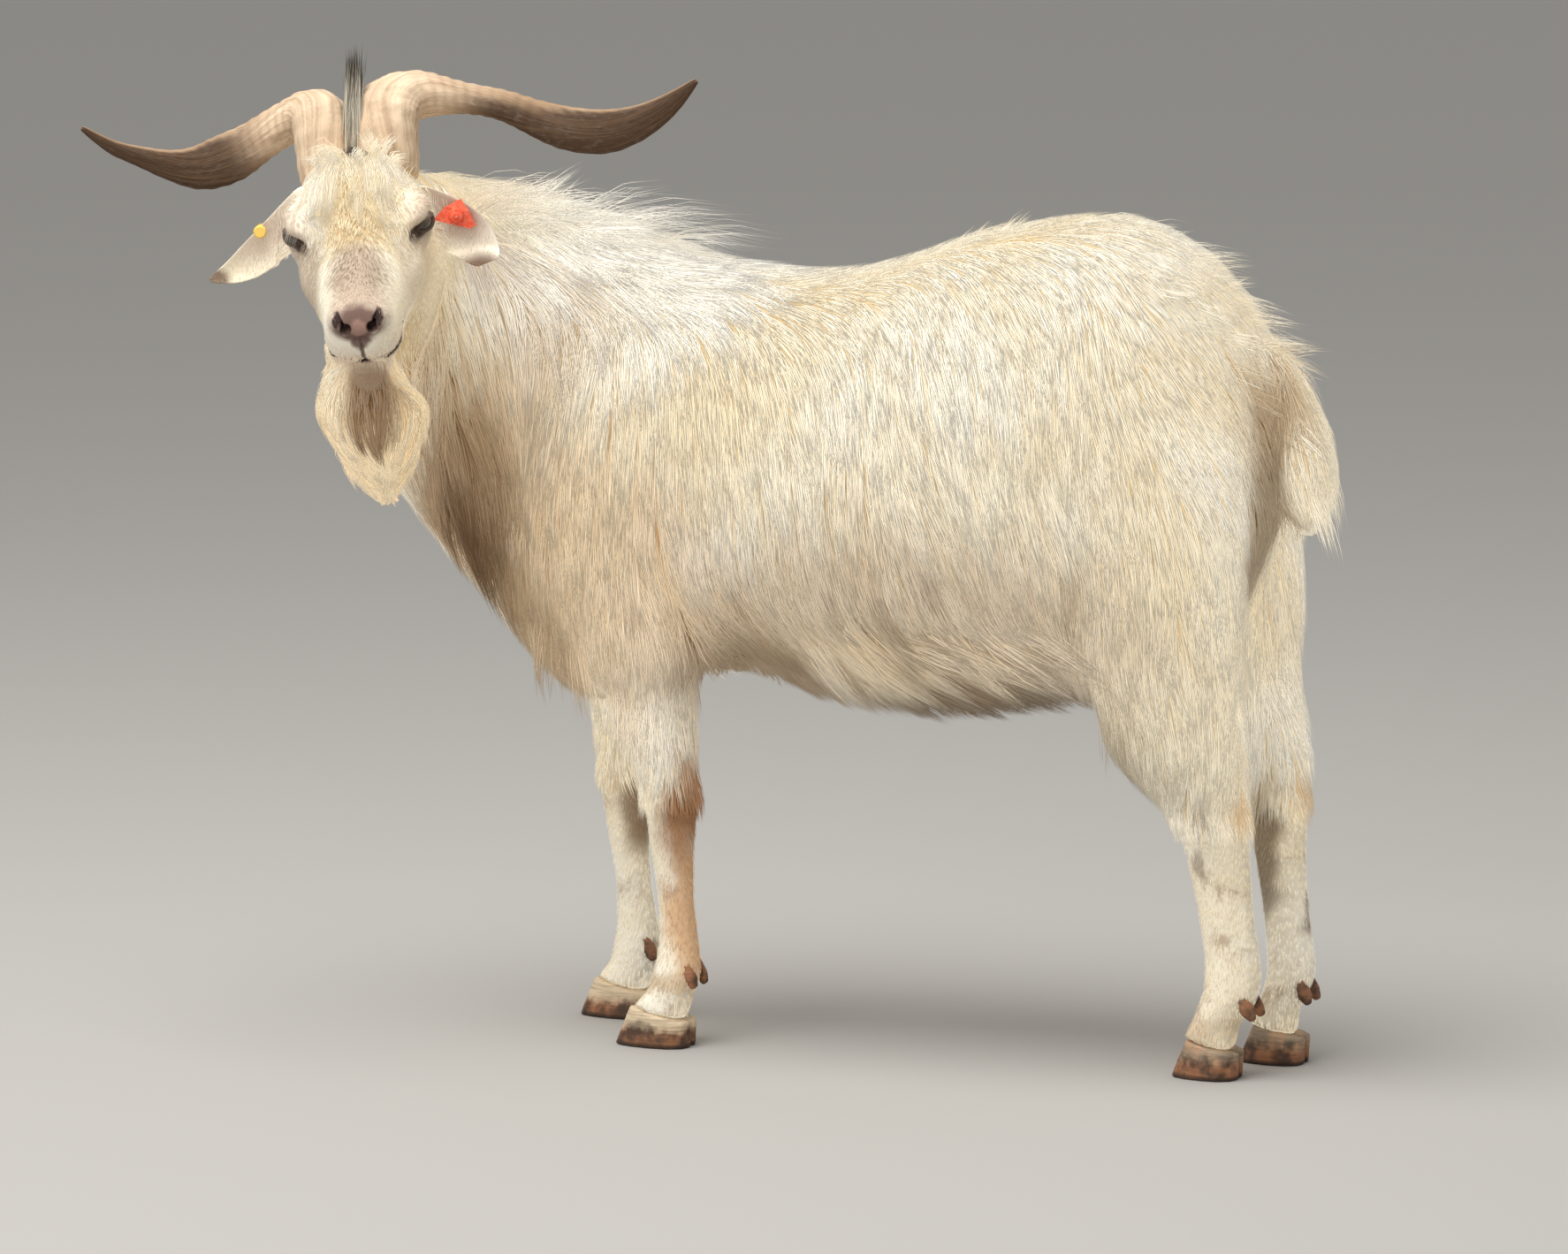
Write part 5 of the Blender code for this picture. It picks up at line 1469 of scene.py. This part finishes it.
# %% Round the horns and let the grain follow them
HORN_LINES = {  # out, up and back from the brow on the level axes, along the middle
    "left": [(0.034, 0.048, 0.062), (0.036, 0.080, 0.074), (0.047, 0.103, 0.090),
             (0.077, 0.101, 0.108), (0.111, 0.093, 0.116), (0.144, 0.083, 0.120),
             (0.172, 0.068, 0.120), (0.206, 0.052, 0.117), (0.245, 0.045, 0.111),
             (0.282, 0.053, 0.104), (0.312, 0.068, 0.098), (0.337, 0.086, 0.092)],
    "right": [(0.030, 0.048, 0.062), (0.030, 0.078, 0.074), (0.035, 0.096, 0.090),
              (0.056, 0.093, 0.106), (0.085, 0.081, 0.115), (0.108, 0.068, 0.120),
              (0.133, 0.059, 0.120), (0.157, 0.054, 0.117), (0.184, 0.060, 0.111),
              (0.213, 0.073, 0.104), (0.238, 0.085, 0.098), (0.264, 0.107, 0.092)],
}
BROADER_ROOT = {"left": 0.010, "right": 0.004}
SINK_ROOT = 0.022
SWELL, ROUGHNESS, SWELL_EVERY = 0.0005, 0.0005, 0.013  # heights, and from swell to swell


def on_level(*way):
    """A way on the level head axes, as one in the scene."""
    return np.array(LEVEL.to_3x3() @ Vector(way))


def middle_line(side):
    """Points close together along the middle of a horn, and how far along each of them is."""
    line = np.array([
        LEVEL @ Vector((-b, SIGNS[side] * o, u)) for o, u, b in HORN_LINES[side]
    ])
    shares = np.linspace(0, 1, 9)[None, :-1, None]
    dense = (line[:-1, None] + (line[1:] - line[:-1])[:, None] * shares).reshape(-1, 3)
    dense = np.vstack([dense, line[-1]])
    for _ in range(60):
        dense[1:-1] = (dense[:-2] + 2 * dense[1:-1] + dense[2:]) / 4
    steps = np.linalg.norm(np.diff(dense, axis=0), axis=1)
    return dense, np.concatenate([[0], np.cumsum(steps)])


def horn(side):
    dense, run = middle_line(side)
    piece = rounded(f"horn_{side}_sheath", f"horn_{side}", 0.0012, 3)
    mesh = piece.data
    places, normals = read(mesh), read(mesh, "vertex_normals", "vector")
    from_tip = np.linalg.norm(places - dense[-1], axis=1)
    places = relaxed(places, edges_of(mesh), 60, 0.5 * ramp(from_tip, 0.04, 0.16))
    near = np.array([np.argmin(((dense - place) ** 2).sum(axis=1)) for place in places])
    near = np.clip(near, 0, len(dense) - 2)
    ways = dense[near + 1] - dense[near]
    lengths = np.linalg.norm(ways, axis=1)
    ways /= lengths[:, None]
    offset = places - dense[near]
    along = run[near] + np.clip((offset * ways).sum(axis=1), -0.05, lengths)
    offset -= (offset * ways).sum(axis=1)[:, None] * ways
    across = unit(np.cross(ways, on_level(0, 0, 1)))
    over = np.cross(across, ways)
    angle = np.arctan2((offset * over).sum(axis=1), (offset * across).sum(axis=1))
    waves = np.sin(along * 2 * math.pi / SWELL_EVERY + 0.8 * np.sin(angle))
    rough = np.array([
        noise.noise(Vector((a * 40, 9 * math.cos(t), 9 * math.sin(t))))
        for a, t in zip(along, angle)
    ])
    push = SWELL * waves * ramp(0.30 - along, 0, 0.25) + ROUGHNESS * rough
    places = places + normals * push[:, None]
    inward = on_level(0, -SIGNS[side], 0)
    broad = ramp(offset @ inward, -0.004, 0.018) * ramp(0.13 - along, 0.0, 0.05)
    places = places + inward * (broad * BROADER_ROOT[side])[:, None]
    sink = SINK_ROOT * ramp(0.045 - along, 0.0, 0.045)
    places = places - on_level(0.15, 0, 1)[None] * sink[:, None]
    write(mesh, places)
    store(mesh, "grain", np.column_stack([along, np.cos(angle) * 0.02, np.sin(angle) * 0.02]))
    # how far each face turns down, for painted shade on the horn's under side
    store(mesh, "under", ramp(0.96 - normals[:, 2], 0.0, 0.40) * ramp(along, 0.09, 0.16))
    mesh.shade_smooth()
    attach(piece, "root")
    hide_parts(f"horn_{side}")
    print(piece.name, len(mesh.polygons), "faces,", round(float(run[-1]), 3), "m long")
    return piece


horns = [horn(side) for side in SIGNS]

# %% [markdown]
# The sheath is pale and warm at its root and darker outwards. Its under side is darkest, which
# is painted shade, and grime lies in its specks, heavier on the under side as painted shade too.
# Stretching a noise along the grain turns its blots into fibres.

# %% The horns' material
sheath, w, shader = new_material("horn", 0.70, 0.25)
grain, under = w.attribute("grain", "Vector"), w.attribute("under")
fibres = w.noise(w.stretched(grain, (7.0, 380.0, 380.0)), 1.0, 4.0, 0.65)
blots = w.noise(w.stretched(grain, (14.0, 90.0, 90.0)), 1.0, 3.0, 0.6)
specks = w.noise(w.stretched(grain, (110.0, 240.0, 240.0)), 1.0, 3.0, 0.7)
colour = w.mix(w.spread(blots, 0.30, 0.70), paint(206, 178, 148), paint(232, 208, 178))
outwards = w.spread(w.parts(grain)[0], 0.07, 0.20, 0.0, 0.75)
colour = w.mix(outwards, colour, paint(146, 114, 82))
# painted shade: faces that turn down darken to a deep brown
colour = w.mix(w.times(under, 0.95), colour, paint(60, 39, 23))
colour = w.mix(w.spread(fibres, 0.42, 0.66, 0.0, 0.40), colour, paint(126, 98, 72))
# grime in the specks, made heavier on the under side as painted shade
grime_and_shade = w.spread(specks, 0.52, 0.68, 0.0, 0.75)
grime_and_shade = w.times(grime_and_shade, w.spread(under, 0.25, 0.75, 0.25, 1.0))
w.feed(shader.inputs["Base Color"], w.mix(grime_and_shade, colour, paint(92, 78, 66)))
bumped(w, shader, w.math("ADD", fibres, w.times(specks, 0.5)), 0.40, 0.0009)
for piece in horns:
    wear(piece, sheath)
print("horns of", sum(len(piece.data.polygons) for piece in horns), "faces wear one material")

# %% [markdown]
# ## Hooves, eyes and ear tags
#
# Claws are remeshed finely and eased, which rounds their edges as walking does. Their horn grows
# down from the hair in layers. It is blotched brown, pale in the upper part of a claw, most of
# all on the forefeet, and dark where it meets the ground. Dewclaws stay brown.

# %% Hooves and dewclaws
CLAW_NET, EASE_CLAWS = 0.0018, 3
hoof_horn, w, shader = new_material("hoof", 0.55, 0.4)
place = w.node("TexCoord").outputs["Object"]
layers = w.noise(w.stretched(place, (30.0, 30.0, 420.0)), 1.0, 3.0, 0.6)
blotch = w.noise(place, 55.0, 3.0)
colour = w.mix(w.spread(blotch, 0.38, 0.62), paint(76, 54, 40), paint(156, 106, 72))
along_body, _, height = w.parts(w.vector("SUBTRACT", place, tuple(FEET)))
on_forefoot = w.spread(along_body, -0.1, 0.1, 1.0, 0.0)
ragged = w.math("ADD", height, w.times(w.math("SUBTRACT", blotch, 0.5), 0.030))
not_dewclaw = w.spread(height, 0.044, 0.052, 1.0, 0.0)
upper = w.times(w.spread(ragged, 0.012, 0.026), not_dewclaw)
pale = w.times(upper, w.math("ADD", w.times(on_forefoot, 0.55), 0.35))
colour = w.mix(pale, colour, paint(224, 204, 172))
colour = w.mix(w.spread(layers, 0.4, 0.7, 0.0, 0.4), colour, paint(84, 62, 48))
colour = w.mix(w.spread(height, 0.002, 0.006, 0.8, 0.0), colour, paint(52, 38, 30))
w.feed(shader.inputs["Base Color"], colour)
bumped(w, shader, layers, 0.5, 0.0010)
for node in sorted(frame["nodes"]):
    if node.startswith(("hoof_", "dewclaw_")):
        claw = remeshed(from_bmesh(node + "_horn", merged_copy(node)), CLAW_NET)
        half = np.full(len(claw.data.vertices), 0.5)
        places = relaxed(read(claw.data), edges_of(claw.data), EASE_CLAWS, half)
        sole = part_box(node)[0].z
        places[:, 2] = np.maximum(places[:, 2], sole)
        write(claw.data, places)
        claw.data.shade_smooth()
        wear(claw, hoof_horn)
        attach(claw, "root")
        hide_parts(node)
        print(claw.name, len(claw.data.polygons), "faces")

# %% [markdown]
# A goat's pupil is a dark bar that lies level. The eyeball is one sphere with a slight bulge at
# the cornea, and its pattern is read from coordinates on the eye's own axes.

# %% Eyes
PUPIL_LONG, PUPIL_HIGH = 0.46, 0.15  # half of each, against the eyeball's radius
CORNEA = 0.035  # how far it bulges, against the eyeball's radius
eyeball, w, shader = new_material("eye", 0.12, 0.5)
shader.inputs["Coat Weight"].default_value = 1.0
shader.inputs["Coat Roughness"].default_value = 0.03
_, inward, upward = w.parts(w.attribute("gaze", "Vector"))
radius = w.math("SQRT", w.squares(inward, upward))
bar = w.math("MAXIMUM", *[
    w.math("DIVIDE", w.math("ABSOLUTE", off), half)
    for off, half in ((inward, PUPIL_LONG), (upward, PUPIL_HIGH))
])
flat = w.node("CombineXYZ", {0: inward, 1: upward}).outputs[0]
threads = w.noise(w.vector("NORMALIZE", flat), 7.0, 4.0)
iris = w.mix(w.spread(threads, 0.35, 0.65), paint(54, 36, 22), paint(92, 62, 34))
colour = w.mix(w.spread(radius, 0.66, 0.74), iris, paint(60, 46, 38))
colour = w.mix(w.spread(bar, 0.9, 1.05, 1.0, 0.0), colour, paint(10, 8, 8))
w.feed(shader.inputs["Base Color"], colour)
for side in SIGNS:
    axes = Matrix([FACE_TURN @ Vector(axis) for axis in eye_axes(side)]).transposed()
    bm = bmesh.new()
    bmesh.ops.create_uvsphere(bm, u_segments=40, v_segments=28, radius=1.0)
    ball = from_bmesh(f"eye_{side}_ball", bm)
    gaze = read(ball.data)
    store(ball.data, "gaze", gaze)
    bulge = 1 + CORNEA * ramp(gaze[:, 0], 0.70, 0.95)
    turned = (gaze * bulge[:, None] * EYE_RADIUS) @ np.array(axes).T
    write(ball.data, turned + np.array(EYES[side]))
    wear(ball, eyeball)
    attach(ball, "root")
    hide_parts(f"eye_{side}")
    print(ball.name, "looks towards", [round(c, 2) for c in axes.col[0]])

# %% [markdown]
# The two ear tags are the solids themselves, with a scuffed plastic in place of their own.

# %% Ear tags
def tag_plastic(name, colour):
    material, w, shader = new_material(name, 0.42, 0.45)
    place = w.node("TexCoord").outputs["Object"]
    scuffs = w.noise(place, 260.0, 4.0, 0.7)
    worn = w.spread(scuffs, 0.45, 0.75, 0.0, 0.35)
    w.feed(shader.inputs["Base Color"], w.mix(worn, colour, paint(240, 214, 190)))
    w.feed(shader.inputs["Roughness"], w.spread(scuffs, 0.3, 0.7, 0.36, 0.62))
    bumped(w, shader, scuffs, 0.15, 0.0005)
    return material


for side, colour in (("left", paint(246, 92, 58)), ("right", paint(246, 206, 96))):
    tag = frame["nodes"][f"eartag_{side}"]
    for slot in tag.material_slots:
        slot.material = tag_plastic(f"tag {side}", colour)
    print(tag.name, "is plain plastic")

# %% Tidy up, print the sizes and finish
bpy.data.objects.remove(low)
low_corner, high_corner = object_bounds()
spare = [round(1000 * (a - b), 1) for a, b in zip(cad_low, low_corner)]
spare += [round(1000 * (a - b), 1) for a, b in zip(high_corner, cad_high)]
print("beyond the solids, mm:", spare)
